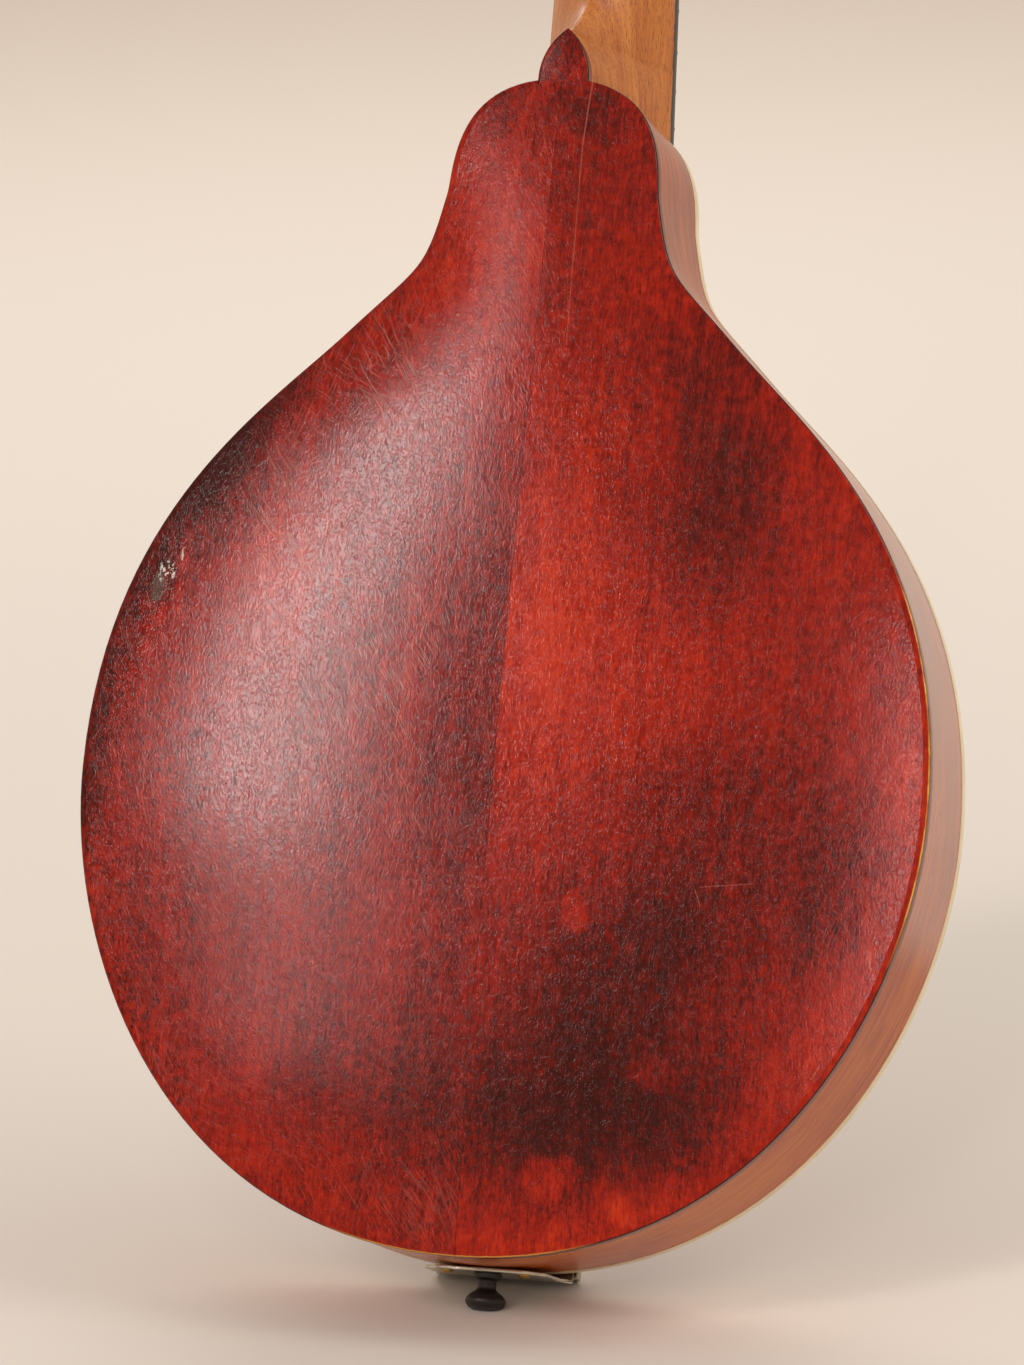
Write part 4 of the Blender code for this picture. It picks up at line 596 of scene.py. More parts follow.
class Recipe(NodeSheet):
    """A material's nodes while it is put together."""

    def __init__(self, name: str) -> None:
        """Start a material that holds only its shader and output."""
        self.material = bpy.data.materials.new(name)
        self.material.use_nodes = True
        super().__init__(self.material.node_tree)
        self.shader = self.tree.nodes["Principled BSDF"]

    def coordinates(self) -> Socket:
        """Return the piece's own coordinates in millimetres."""
        place = self.add("TexCoord", take="Object")
        return self.add("VectorMath", {"operation": "SCALE", "Scale": 1000.0}, {0: place})

    def streaks(self, vector: Socket, size: tuple[float, float, float],
                detail: float = 3.0, roughness: float = 0.55) -> Socket:
        """Return noise whose grains have a size in millimetres along each axis."""
        scale = tuple(1 / s for s in size)
        scaled = self.add("VectorMath", {**MULTIPLY, 1: scale}, {0: vector})
        return self.add("TexNoise", {"Scale": 1.0, "Detail": detail, "Roughness": roughness},
                        {"Vector": scaled})

    def warped(self, vector: Socket, size: float, amount: float) -> Socket:
        """Return coordinates bent by soft noise of a size, by up to about half the amount."""
        noise = self.add("TexNoise", {"Scale": 1 / size, "Detail": 2.0}, {"Vector": vector}, take="Color")
        centred = self.add("VectorMath", {"operation": "SUBTRACT", 1: (0.5, 0.5, 0.5)}, {0: noise})
        scaled = self.add("VectorMath", {"operation": "SCALE", "Scale": amount}, {0: centred})
        return self.add("VectorMath", ADD, {0: vector, 1: scaled})

    def reach(self, vector: Socket, centre: tuple[float, float], size: tuple[float, float]) -> Socket:
        """Return how far places lie from the (x, z) centre of an oval, 1 on its edge."""
        offset = self.add("VectorMath", {"operation": "SUBTRACT", 1: (centre[0], 0, centre[1])},
                          {0: vector})
        scaled = self.add("VectorMath", {**MULTIPLY, 1: (1 / size[0], 0, 1 / size[1])},
                          {0: offset})
        return self.add("VectorMath", {"operation": "LENGTH"}, {0: scaled}, take="Value")

    def varied(self, shade: Socket, parts: Iterable[tuple[Socket, float]]) -> Socket:
        """Return a shade with patterns added, each by up to about its depth either way."""
        ranged = [self.add("MapRange", {**NOISE, 3: -depth, 4: depth}, {0: pattern})
                  for pattern, depth in parts]
        return self.chained("Math", ADD, shade, *ranged)

    def overlaid(self, colour: Socket, layers: Iterable[tuple[Socket, str]]) -> Socket:
        """Return a colour with hex colours laid over it in turn, each where its mask is 1."""
        for mask, code in layers:
            colour = self.add("Mix", {"data_type": "RGBA", 7: hex_linear(code)}, {0: mask, 6: colour},
                              take=2)
        return colour

    def finish(self, colour: Socket | None, roughness: Socket | None,
               height: Socket | None, settings: dict) -> Material:
        """Link the shader's patterned inputs, set its constants and return the material.

        Args:
            colour: the base colour, or None where it is a constant.
            roughness: the roughness, or None where it is a constant.
            height: a relief in metres, or None where the surface is even.
            settings: the shader's constants by socket name.
        """
        for key, value in settings.items():
            self.shader.inputs[key].default_value = value
        if colour is not None:
            self.tree.links.new(colour, self.shader.inputs["Base Color"])
        if roughness is not None:
            self.tree.links.new(roughness, self.shader.inputs["Roughness"])
        if height is not None:
            bump = self.add("Bump", {"Strength": 1.0, "Distance": 1.0}, {"Height": height})
            self.tree.links.new(bump, self.shader.inputs["Normal"])
        return self.material


@dataclass(frozen=True)
class Patch:
    """A soft oval on the back where the colour is darker or paler, in millimetres: mostly the stain, in a
    few places painted light and shade.
    """

    x: float
    z: float
    half_width: float
    half_height: float
    shade: float
    half: Half = Half.BOTH
    core: float = 0.15


BACK_PATCHES = (
    # Bass half: bright beside the seam, a painted sheen where the bookmatched fibres catch the light, dark
    # in a long band, over the root and low in the middle
    Patch(-10, 182, 26, 78, 0.24, Half.BASS),
    Patch(-6, 227, 12, 10, -0.08, Half.BASS),
    Patch(-4, 300, 10, 36, -0.15, Half.BASS),
    Patch(-26, 216, 16, 22, -0.09, Half.BASS),
    Patch(-18, 100, 26, 30, -0.08, Half.BASS),
    Patch(-42, 170, 40, 40, 0.14, Half.BASS),
    Patch(-60, 222, 17, 46, -0.22),
    Patch(-45, 262, 16, 26, -0.08),
    Patch(-9, 332, 15, 10, -0.22),
    Patch(-20, 306, 14, 16, -0.06),
    Patch(-62, 140, 20, 24, -0.16),
    Patch(-88, 112, 34, 34, -0.18),
    Patch(-44, 62, 40, 50, -0.36),
    Patch(-20, 44, 56, 34, -0.12),
    Patch(-60, 98, 36, 26, -0.12),
    Patch(-70, 36, 34, 20, -0.14),
    Patch(-12, 32, 30, 24, -0.15),
    Patch(0, 353, 12, 13, -0.14),
    # Treble half: darker along the seam, painted shade where its mirrored fibres turn the light away, darker
    # in the upper flank, warm towards the neck
    Patch(8, 150, 20, 100, -0.12, Half.TREBLE),
    Patch(12, 285, 24, 40, 0.16, Half.TREBLE),
    Patch(20, 306, 14, 26, 0.10, Half.TREBLE),
    # Painted highlight: a paler oval where the treble softboxes are mirrored
    Patch(66, 200, 26, 50, 0.12),
    Patch(92, 232, 20, 38, -0.24),
    Patch(20, 45, 44, 40, -0.12),
    Patch(62, 25, 34, 22, 0.08),
    # Small marks that show in the stain
    Patch(-26.8, 98.9, 5.2, 5.6, 0.30, core=0.6),
    Patch(-24.9, 24.5, 7.6, 6.2, 0.36, core=0.6),
    Patch(-54.5, 55.9, 7.0, 6.0, 0.22, core=0.3),
    Patch(-47.7, 16.8, 5.4, 5.0, 0.22, core=0.5),
)


@dataclass(frozen=True)
class Scratch:
    """A straight mark through the varnish between two places, in millimetres."""

    start: tuple[float, float]
    end: tuple[float, float]
    width: float
    strength: float


BACK_SCRATCHES = (
    # The crack down from the heel button
    Scratch((-9.1, 343.0), (-8.2, 323.0), 0.28, 0.5),
    Scratch((-8.2, 323.0), (-9.6, 263.0), 0.24, 0.36),
    # Loose scratches low on the bass half
    Scratch((-61.6, 107.3), (-63.4, 103.2), 0.26, 0.35),
    Scratch((-63.0, 108.2), (-77.7, 110.0), 0.22, 0.3),
    Scratch((-112.1, 93.2), (-112.5, 88.6), 0.42, 0.6),
    Scratch((-98.6, 56.6), (-100.6, 60.4), 0.3, 0.5),
)


@dataclass(frozen=True)
class BirchBackVarnish:
    """Flat-sawn birch, stained red and varnished: streaks of the fibres show through an uneven stain."""

    shadow: str = "#3A0703"
    dark: str = "#5E0B04"
    middle: str = "#881406"
    bright: str = "#A81F08"
    glow: str = "#C4300C"
    line: str = "#1F0705"
    ember: str = "#A8240A"
    worn: str = "#E6AC4E"
    side: str = "#7C3A22"
    bare: str = "#5C4236"
    scratch: str = "#BC6450"
    hairline_and_glint: str = "#E8BFB0"
    roughness: float = 0.10
    painted_glint: str = "#E6D8C8"
    chip: tuple[float, float] = (106.0, 190.5)
    # The oval where the hairlines carry a painted highlight of their glints
    glint_zone_centre: tuple[float, float] = (50.0, 186.0)
    glint_zone_size: tuple[float, float] = (35.0, 86.0)
    wrinkle_height: float = 0.000008
    pit_depth: float = 0.000012
    scratch_depth: float = 0.000005

    def shade(self, recipe: Recipe, mm: Socket, bass: Socket, treble: Socket) -> Socket:
        """Return how bright the back's colour is, from its patches and fibres; a few patches are painted
        light and shade.
        """
        bent = recipe.warped(mm, 26.0, 16.0)
        cloud = recipe.streaks(bent, (34.0, 34.0, 52.0), 4.0, 0.6)
        total = recipe.add("MapRange", {**NOISE, 3: 0.44, 4: 0.64}, {0: cloud})
        for patch in BACK_PATCHES:
            reach = recipe.reach(bent, (patch.x, patch.z), (patch.half_width, patch.half_height))
            weight = recipe.add("MapRange", {**SOFT, 1: 1.25, 2: patch.core, 3: 0.0, 4: patch.shade},
                                {0: reach})
            if patch.half is not Half.BOTH:
                half = bass if patch.half is Half.BASS else treble
                weight = recipe.add("Math", MULTIPLY, {0: weight, 1: half})
            total = recipe.add("Math", ADD, {0: total, 1: weight})
        return total

    def material(self) -> Material:
        """Return the finish of the back plate."""
        recipe = Recipe("red_birch_varnish")
        mm = recipe.coordinates()
        x = recipe.add("SeparateXYZ", None, {0: mm}, take="X")
        z = x.node.outputs["Z"]
        bass = recipe.add("MapRange", {1: 0.15, 2: -0.15}, {0: x})
        treble = recipe.add("Math", {"operation": "SUBTRACT", 0: 1.0}, {1: bass})
        shade = self.shade(recipe, mm, bass, treble)
        drift = recipe.warped(mm, 48.0, 5.0)
        fibre = recipe.streaks(drift, (0.6, 6.0, 3.4), 3.0, 0.6)
        strand = recipe.streaks(drift, (1.1, 12.0, 22.0), 3.0, 0.55)
        band = recipe.streaks(drift, (4.0, 20.0, 60.0), 3.0, 0.5)
        blot = recipe.streaks(mm, (2.8, 8.0, 2.6), 3.0, 0.6)
        shade = recipe.varied(shade, ((fibre, 0.17), (strand, 0.07), (band, 0.07), (blot, 0.14)))
        fleck = recipe.streaks(drift, (0.8, 4.0, 1.8), 2.0, 0.6)
        mottle = recipe.streaks(mm, (46.0, 46.0, 60.0), 2.0, 0.5)
        mottle = recipe.add("MapRange", {1: 0.42, 2: 0.62, 3: 0.06, 4: 0.28}, {0: mottle})
        flank = recipe.add("MapRange", {1: 84.0, 2: 104.0, 3: 0.0, 4: 0.22}, {0: x})
        mottle = recipe.add("Math", ADD, {0: mottle, 1: flank})
        fleck = recipe.add("MapRange", {1: 0.52, 2: 0.70}, {0: fleck})
        fleck = recipe.add("Math", MULTIPLY, {0: fleck, 1: mottle})
        shade = recipe.add("Math", {"operation": "SUBTRACT"}, {0: shade, 1: fleck})
        shade = recipe.chained("Math", ADD, shade, self.loops(recipe, x, z, bass),
                               self.margin(recipe, x, z, bass))
        stops = tuple(zip((0.0, 0.25, 0.5, 0.75, 1.0),
                          (self.shadow, self.dark, self.middle, self.bright, self.glow)))
        colour = recipe.add("ValToRGB", {"stops": stops}, {0: shade})
        scratches = self.scratches(recipe, mm, treble)
        # The hairline colour is faint everywhere and strongest in that oval, where the treble softboxes are
        # mirrored: partly the scratches' own pale colour, partly a painted highlight
        reach = recipe.reach(mm, self.glint_zone_centre, self.glint_zone_size)
        rubbed = recipe.add("MapRange", {**SOFT, 1: 1.15, 2: 0.5, 3: 0.06, 4: 0.32}, {0: reach})
        rubbed = recipe.add("Math", MULTIPLY, {0: scratches, 1: rubbed})
        colour = recipe.overlaid(colour, ((rubbed, self.hairline_and_glint),))
        colour = self.edge(recipe, colour, mm, x, z)
        wrinkle = recipe.streaks(recipe.warped(mm, 4.0, 3.0), (0.6, 5.0, 1.2), 2.0, 0.55)
        height = recipe.add("MapRange", {1: 0.25, 2: 0.75, 3: -self.wrinkle_height, 4: self.wrinkle_height},
                            {0: wrinkle})
        pits = recipe.streaks(recipe.warped(mm, 5.0, 5.0), (0.5, 4.0, 1.0), 2.0, 0.55)
        pits = recipe.add("MapRange", {1: 0.53, 2: 0.62}, {0: pits})
        for mask, depth in ((pits, self.pit_depth), (scratches, self.scratch_depth)):
            lowered = recipe.add("Math", {**MULTIPLY, 1: -depth}, {0: mask})
            height = recipe.add("Math", ADD, {0: height, 1: lowered})
        gloss = recipe.streaks(mm, (60.0, 60.0, 60.0), 4.0, 0.6)
        gloss = recipe.add("MapRange", {**NOISE, 3: self.roughness - 0.04, 4: self.roughness + 0.05},
                           {0: gloss})
        dulled = recipe.add("Math", {**MULTIPLY, 1: 0.05}, {0: pits})
        gloss = recipe.add("Math", ADD, {0: gloss, 1: dulled})
        return recipe.finish(colour, gloss, height, {"IOR": 1.5, "Specular IOR Level": 0.2})

    def margin(self, recipe: Recipe, x: Socket, z: Socket, bass: Socket) -> Socket:
        """Return the stain's darkening at the treble edge, and a brightening at the lower bass edge that is
        partly wear and partly painted sheen.
        """
        reach = recipe.add("Attribute", {"attribute_name": "edge"}, take="Fac")
        dark = recipe.add("MapRange", {**SOFT, 1: 14.0, 2: 2.0, 3: 0.0, 4: -0.34}, {0: reach})
        high = recipe.add("MapRange", {**SOFT, 1: 98.0, 2: 130.0}, {0: z})
        side = recipe.add("MapRange", {**SOFT, 1: 52.0, 2: 80.0}, {0: x})
        # Paler near the lower bass edge: partly worn varnish, partly painted sheen of light reflected at the
        # edge
        worn = recipe.add("MapRange", {**SOFT, 1: 22.0, 2: 5.0, 3: 0.0, 4: 0.20}, {0: reach})
        low = recipe.add("MapRange", {**SOFT, 1: 190.0, 2: 130.0}, {0: z})
        return recipe.add("Math", ADD, {0: recipe.chained("Math", MULTIPLY, dark, high, side),
                                        1: recipe.chained("Math", MULTIPLY, worn, low, bass)})

    def loops(self, recipe: Recipe, x: Socket, z: Socket, bass: Socket) -> Socket:
        """Return the pale nested arches of the growth rings beside the seam."""
        across = recipe.add("Math", {**ADD, 1: 9.0}, {0: x})
        across = recipe.add("Math", {"operation": "DIVIDE", 1: 7.0}, {0: across})
        square = recipe.add("Math", {"operation": "POWER", 1: 2.0}, {0: across})
        rise = recipe.add("Math", {"operation": "DIVIDE", 1: 15.0}, {0: z})
        turn = recipe.add("Math", {**MULTIPLY, 1: math.tau},
                          {0: recipe.add("Math", ADD, {0: square, 1: rise})})
        wave = recipe.add("Math", {"operation": "SINE"}, {0: turn})
        line = recipe.add("MapRange", {1: 0.55, 2: 1.0, 3: 0.0, 4: 0.10}, {0: wave})
        high = recipe.add("MapRange", {**SOFT, 1: 205.0, 2: 180.0}, {0: z})
        low = recipe.add("MapRange", {**SOFT, 1: 95.0, 2: 120.0}, {0: z})
        gap = recipe.add("Math", {"operation": "ABSOLUTE"}, {0: across})
        near = recipe.add("MapRange", {**SOFT, 1: 1.5, 2: 0.9}, {0: gap})
        return recipe.chained("Math", MULTIPLY, line, near, high, low, bass)

    def scratches(self, recipe: Recipe, mm: Socket, treble: Socket) -> Socket:
        """Return straight hairlines rubbed into the varnish in bundles, most of them on the treble half."""
        hairs = []
        # Real hairlines are a tenth of a millimetre wide, and are drawn three times as wide to show at all
        lays = ((-36, 0.34, 13.0, 26.0, 1.0), (-22, 0.31, 9.0, 20.0, 0.9),
                (20, 0.31, 9.0, 30.0, 0.6), (-64, 0.31, 7.0, 18.0, 0.5))
        for turn, width, length, bundle, weight in lays:
            lay = recipe.add("Mapping", {"Rotation": (0.0, math.radians(turn), 0.0)}, {"Vector": mm})
            lay = recipe.warped(lay, 30.0, 5.0)
            hair = recipe.streaks(lay, (width, 8.0, length), 1.0, 0.4)
            hair = recipe.add("MapRange", {1: 0.62, 2: 0.68, 3: 0.0, 4: weight}, {0: hair})
            where = recipe.streaks(lay, (bundle,) * 3, 2.0, 0.5)
            where = recipe.add("MapRange", {1: 0.42, 2: 0.62}, {0: where})
            hairs.append(recipe.add("Math", MULTIPLY, {0: hair, 1: where}))
        more = recipe.add("MapRange", {3: 0.25, 4: 1.0}, {0: treble})
        strongest = recipe.chained("Math", {"operation": "MAXIMUM"}, *hairs)
        return recipe.add("Math", MULTIPLY, {0: strongest, 1: more})

    def edge(self, recipe: Recipe, colour: Socket, mm: Socket, x: Socket, z: Socket) -> Socket:
        """Return the colour with the dark lines, worn rim, seam, crack and chip laid over it; the dark lines
        on the rounding are painted shade.
        """
        reach = recipe.add("Attribute", {"attribute_name": "edge"}, take="Fac")
        rough = recipe.streaks(mm, (2.0, 2.0, 2.0), 3.0, 0.6)
        wobble = recipe.add("MapRange", {1: 0.2, 2: 0.8, 3: -0.15, 4: 0.15}, {0: rough})
        near = recipe.add("Math", ADD, {0: reach, 1: wobble})
        upper = recipe.add("MapRange", {**SOFT, 1: 212.0, 2: 182.0}, {0: z})
        lower = recipe.add("MapRange", {**SOFT, 1: 84.0, 2: 112.0}, {0: z})
        side = recipe.add("MapRange", {1: -80.0, 2: -100.0}, {0: x})
        patchy = recipe.streaks(mm, (9.0, 9.0, 11.0), 3.0, 0.65)
        patchy = recipe.add("MapRange", {1: 0.40, 2: 0.56, 3: 0.3, 4: 1.0}, {0: patchy})
        place = recipe.chained("Math", MULTIPLY, upper, lower, side, patchy)
        foot = recipe.add("MapRange", {1: 7.0, 2: 2.5, 3: 0.0, 4: 0.6}, {0: z})
        place = recipe.add("Math", {"operation": "MAXIMUM"}, {0: place, 1: foot})
        unworn = recipe.add("Math", {"operation": "SUBTRACT", 0: 1.0}, {1: place})
        # Each strip along the corner: its colour, where it starts and ends, and how strong it is
        # The first and fourth dark strips lie on the rounding and are painted shade of the rounded corner;
        # the last one marks the joint with the sides
        strips = ((self.line, 0.05, -0.25, unworn), (self.ember, 0.75, 0.45, place),
                  (self.worn, 0.4, 0.15, place), (self.line, -0.45, -0.65, None),
                  (self.side, -0.9, -1.1, None), (self.line, -4.2, -4.4, None))
        layers = []
        for code, start, full, strength in strips:
            mask = recipe.add("MapRange", {1: start, 2: full}, {0: near})
            if strength is not None:
                mask = recipe.add("Math", MULTIPLY, {0: mask, 1: strength})
            layers.append((mask, code))
        seam = recipe.add("Math", {"operation": "ABSOLUTE"}, {0: x})
        layers.append((recipe.add("MapRange", {1: 0.25, 2: 0.05, 3: 0.0, 4: 0.55}, {0: seam}), self.line))
        layers += [(self.line_mask(recipe, mm, mark), self.scratch) for mark in BACK_SCRATCHES]
        colour = recipe.overlaid(colour, layers)
        return self.chipped(recipe, colour, mm)

    def line_mask(self, recipe: Recipe, mm: Socket, mark: Scratch) -> Socket:
        """Return how strongly a straight mark shows at a place."""
        (x0, z0), (x1, z1) = mark.start, mark.end
        way = (x1 - x0, 0.0, z1 - z0)
        size = way[0] ** 2 + way[2] ** 2
        flat = recipe.add("VectorMath", {**MULTIPLY, 1: (1.0, 0.0, 1.0)}, {0: mm})
        offset = recipe.add("VectorMath", {"operation": "SUBTRACT", 1: (x0, 0.0, z0)}, {0: flat})
        share = recipe.add("VectorMath", {"operation": "DOT_PRODUCT", 1: tuple(c / size for c in way)},
                           {0: offset}, take="Value")
        share = recipe.add("MapRange", None, {0: share})
        along = recipe.add("VectorMath", {"operation": "SCALE", 0: way}, {"Scale": share})
        gap = recipe.add("VectorMath", {"operation": "DISTANCE"}, {0: offset, 1: along}, take="Value")
        return recipe.add("MapRange", {1: mark.width, 2: mark.width * 0.3, 3: 0.0, 4: mark.strength},
                          {0: gap})

    def chipped(self, recipe: Recipe, colour: Socket, mm: Socket) -> Socket:
        """Return the colour with the chip by the treble edge: bare wood, and pale specks and a curl of
        painted glint on the torn varnish.
        """
        torn = recipe.warped(mm, 3.0, 3.0)
        crumbs = recipe.streaks(mm, (1.1, 1.1, 1.1), 2.0, 0.5)
        crumbs = recipe.add("MapRange", {1: 0.53, 2: 0.59}, {0: crumbs})
        ovals = (
            (self.chip, (4.8, 9.0), self.line, 0.45, None),
            ((107.2, 188.0), (2.6, 4.6), self.bare, 0.8, None),
            # Pale specks and a thin curl of painted glint on the torn varnish
            ((104.8, 192.6), (2.9, 3.4), self.painted_glint, 0.85, crumbs),
            ((100.4, 197.6), (0.5, 2.3), self.painted_glint, 0.65, None),
        )
        layers = []
        for place, size, code, cover, speck in ovals:
            mask = recipe.add("MapRange", {1: 1.1, 2: 0.7, 3: 0.0, 4: cover},
                              {0: recipe.reach(torn, place, size)})
            if speck is not None:
                mask = recipe.add("Math", MULTIPLY, {0: mask, 1: speck})
            layers.append((mask, code))
        return recipe.overlaid(colour, layers)


@dataclass(frozen=True)
class BentSideVarnish:
    """Bent birch sides under a red-brown varnish, paler and more orange towards the tail: partly worn
    varnish, partly a painted warm reflection.
    """

    dark: str = "#7C3416"
    middle: str = "#B25222"
    bright: str = "#CE7830"
    relief: float = 0.000002

    def material(self) -> Material:
        """Return the finish of the sides, with the grain along their run."""
        recipe = Recipe("brown_birch_varnish")
        mm = recipe.coordinates()
        run = recipe.add("Attribute", {"attribute_name": "run"}, take="Fac")
        level = recipe.add("SeparateXYZ", None, {0: mm}, take="Y")
        along = recipe.add("CombineXYZ", None, {"X": run, "Y": level})
        bent = recipe.warped(along, 30.0, 6.0)
        fibre = recipe.streaks(bent, (22.0, 0.5, 1.0), 4.0, 0.6)
        band = recipe.streaks(bent, (60.0, 3.0, 1.0), 3.0, 0.5)
        cloud = recipe.streaks(mm, (30.0, 30.0, 45.0), 3.0, 0.5)
        z = level.node.outputs["Z"]
        # Paler towards the tail: partly wear, partly a painted warm reflection from below
        low = recipe.add("MapRange", {1: 180.0, 2: 20.0, 3: 0.34, 4: 0.62}, {0: z})
        shade = recipe.varied(low, ((fibre, 0.2), (band, 0.2), (cloud, 0.16)))
        stops = ((0.05, self.dark), (0.5, self.middle), (1.0, self.bright))
        colour = recipe.add("ValToRGB", {"stops": stops}, {0: shade})
        gloss = recipe.add("MapRange", {**NOISE, 3: 0.2, 4: 0.28}, {0: cloud})
        height = recipe.add("MapRange", {1: 0.2, 2: 0.8, 3: -self.relief, 4: self.relief}, {0: fibre})
        coat = recipe.add("MapRange", {**SOFT, 1: 88.0, 2: 106.0, 3: 0.1, 4: 0.9}, {0: z})
        thin = recipe.add("MapRange", {**SOFT, 1: 230.0, 2: 290.0, 3: 1.0, 4: 0.5}, {0: z})
        coat = recipe.add("Math", MULTIPLY, {0: coat, 1: thin})
        recipe.tree.links.new(coat, recipe.shader.inputs["Coat Weight"])
        return recipe.finish(colour, gloss, height, {"IOR": 1.5, "Specular IOR Level": 0.05,
                                                     "Coat Roughness": 0.26})


@dataclass(frozen=True)
class SpruceTopVarnish:
    """Quarter-sawn spruce under dark red varnish: close straight grain, and a ring inlaid round the hole."""

    hole_height: float
    hole: tuple[float, float] = (28.0, 21.0)
    dark: str = "#3B0A06"
    bright: str = "#8E1F10"
    ivory: str = "#CDB98C"
    black: str = "#120C0A"
    edge: str = "#E2CCA6"
    edge_level: float = -23.05
    relief: float = 0.00001

    def material(self) -> Material:
        """Return the finish of the soundboard."""
        recipe = Recipe("red_spruce_varnish")
        mm = recipe.coordinates()
        bent = recipe.warped(mm, 60.0, 3.0)
        grain = recipe.streaks(bent, (0.9, 8.0, 130.0), 2.0, 0.4)
        cloud = recipe.streaks(mm, (50.0, 50.0, 70.0), 3.0, 0.5)
        shade = recipe.add("MapRange", {1: 0.35, 2: 0.65, 3: 0.2, 4: 0.8}, {0: grain})
        shade = recipe.varied(shade, ((cloud, 0.25),))
        colour = recipe.add("ValToRGB", {"stops": ((0.0, self.dark), (1.0, self.bright))}, {0: shade})
        # Each ring of the inlay: how far its edges lie outside the hole, and its colour
        rings = ((3.0, 3.7, self.black), (3.7, 6.3, self.ivory), (6.3, 7.0, self.black))
        layers = []
        for inner, outer, code in rings:
            near, far = (recipe.reach(mm, (0, self.hole_height), (self.hole[0] + out, self.hole[1] + out))
                         for out in (inner, outer))
            past = recipe.add("Math", {"operation": "GREATER_THAN", 1: 1.0}, {0: near})
            within = recipe.add("Math", {"operation": "LESS_THAN", 1: 1.0}, {0: far})
            layers.append((recipe.add("Math", MULTIPLY, {0: past, 1: within}), code))
        level = recipe.add("SeparateXYZ", None, {0: mm}, take="Y")
        edge = recipe.add("MapRange", {1: self.edge_level - 0.1, 2: self.edge_level + 0.1}, {0: level})
        colour = recipe.overlaid(colour, (*layers, (edge, self.edge)))
        height = recipe.add("MapRange", {1: 0.35, 2: 0.65, 3: -self.relief, 4: self.relief}, {0: grain})
        return recipe.finish(colour, None, height, {"IOR": 1.5, "Roughness": 0.28})


@dataclass(frozen=True)
class MahoganyVarnish:
    """Mahogany under thin orange-brown varnish: straight grain, short dark pores, satin from the hand."""

    dark: str = "#A5501E"
    bright: str = "#DC8A42"
    pore: str = "#632C10"
    pore_depth: float = 0.00002

    def material(self) -> Material:
        """Return the finish of the neck."""
        recipe = Recipe("mahogany_varnish")
        mm = recipe.coordinates()
        bent = recipe.warped(mm, 40.0, 5.0)
        grain = recipe.streaks(bent, (1.4, 1.4, 60.0), 3.0, 0.55)
        band = recipe.streaks(bent, (7.0, 7.0, 120.0), 2.0, 0.5)
        pores = recipe.streaks(bent, (0.28, 0.28, 2.6), 1.0, 0.4)
        shade = recipe.add("MapRange", {**NOISE, 3: 0.25, 4: 0.75}, {0: grain})
        shade = recipe.varied(shade, ((band, 0.25),))
        colour = recipe.add("ValToRGB", {"stops": ((0.0, self.dark), (1.0, self.bright))}, {0: shade})
        mask = recipe.add("MapRange", {1: 0.60, 2: 0.68, 3: 0.0, 4: 0.75}, {0: pores})
        colour = recipe.overlaid(colour, ((mask, self.pore),))
        height = recipe.add("Math", {**MULTIPLY, 1: -self.pore_depth}, {0: mask})
        return recipe.finish(colour, None, height, {"IOR": 1.5, "Specular IOR Level": 0.3,
                                                    "Roughness": 0.34})


@dataclass(frozen=True)
class StreakedWood:
    """A plain wood: ebony for board, bridge and pin, raw spruce inside; its grain runs up the instrument."""

    name: str
    dark: str
    bright: str
    roughness: float
    grain: tuple[float, float, float] = (0.6, 0.6, 18.0)
    relief: float = 0.00001

    def material(self) -> Material:
        """Return the finish of the wood."""
        recipe = Recipe(self.name)
        mm = recipe.coordinates()
        fibre = recipe.streaks(recipe.warped(mm, 25.0, 3.0), self.grain, 3.0, 0.55)
        shade = recipe.add("MapRange", NOISE, {0: fibre})
        colour = recipe.add("ValToRGB", {"stops": ((0.0, self.dark), (1.0, self.bright))}, {0: shade})
        gloss = recipe.add("MapRange", {**NOISE, 3: self.roughness - 0.05, 4: self.roughness + 0.07},
                           {0: fibre})
        height = recipe.add("MapRange", {**NOISE, 3: -self.relief, 4: self.relief}, {0: fibre})
        return recipe.finish(colour, gloss, height, {})


@dataclass(frozen=True)
class SmoothStuff:
    """Aged celluloid, bone or shell: pale, faintly clouded and let through a little by light."""

    name: str
    dark: str
    bright: str
    roughness: float
    cloud: tuple[float, float, float]
    glow: float = 0.12

    def material(self) -> Material:
        """Return the finish of the stuff."""
        recipe = Recipe(self.name)
        mm = recipe.coordinates()
        cloud = recipe.streaks(mm, self.cloud, 3.0, 0.55)
        shade = recipe.add("MapRange", NOISE, {0: cloud})
        colour = recipe.add("ValToRGB", {"stops": ((0.0, self.dark), (1.0, self.bright))}, {0: shade})
        gloss = recipe.add("MapRange", {**NOISE, 3: self.roughness - 0.05, 4: self.roughness + 0.08},
                           {0: cloud})
        return recipe.finish(colour, gloss, None, {"Subsurface Weight": self.glow,
                                                   "Subsurface Scale": 0.001})


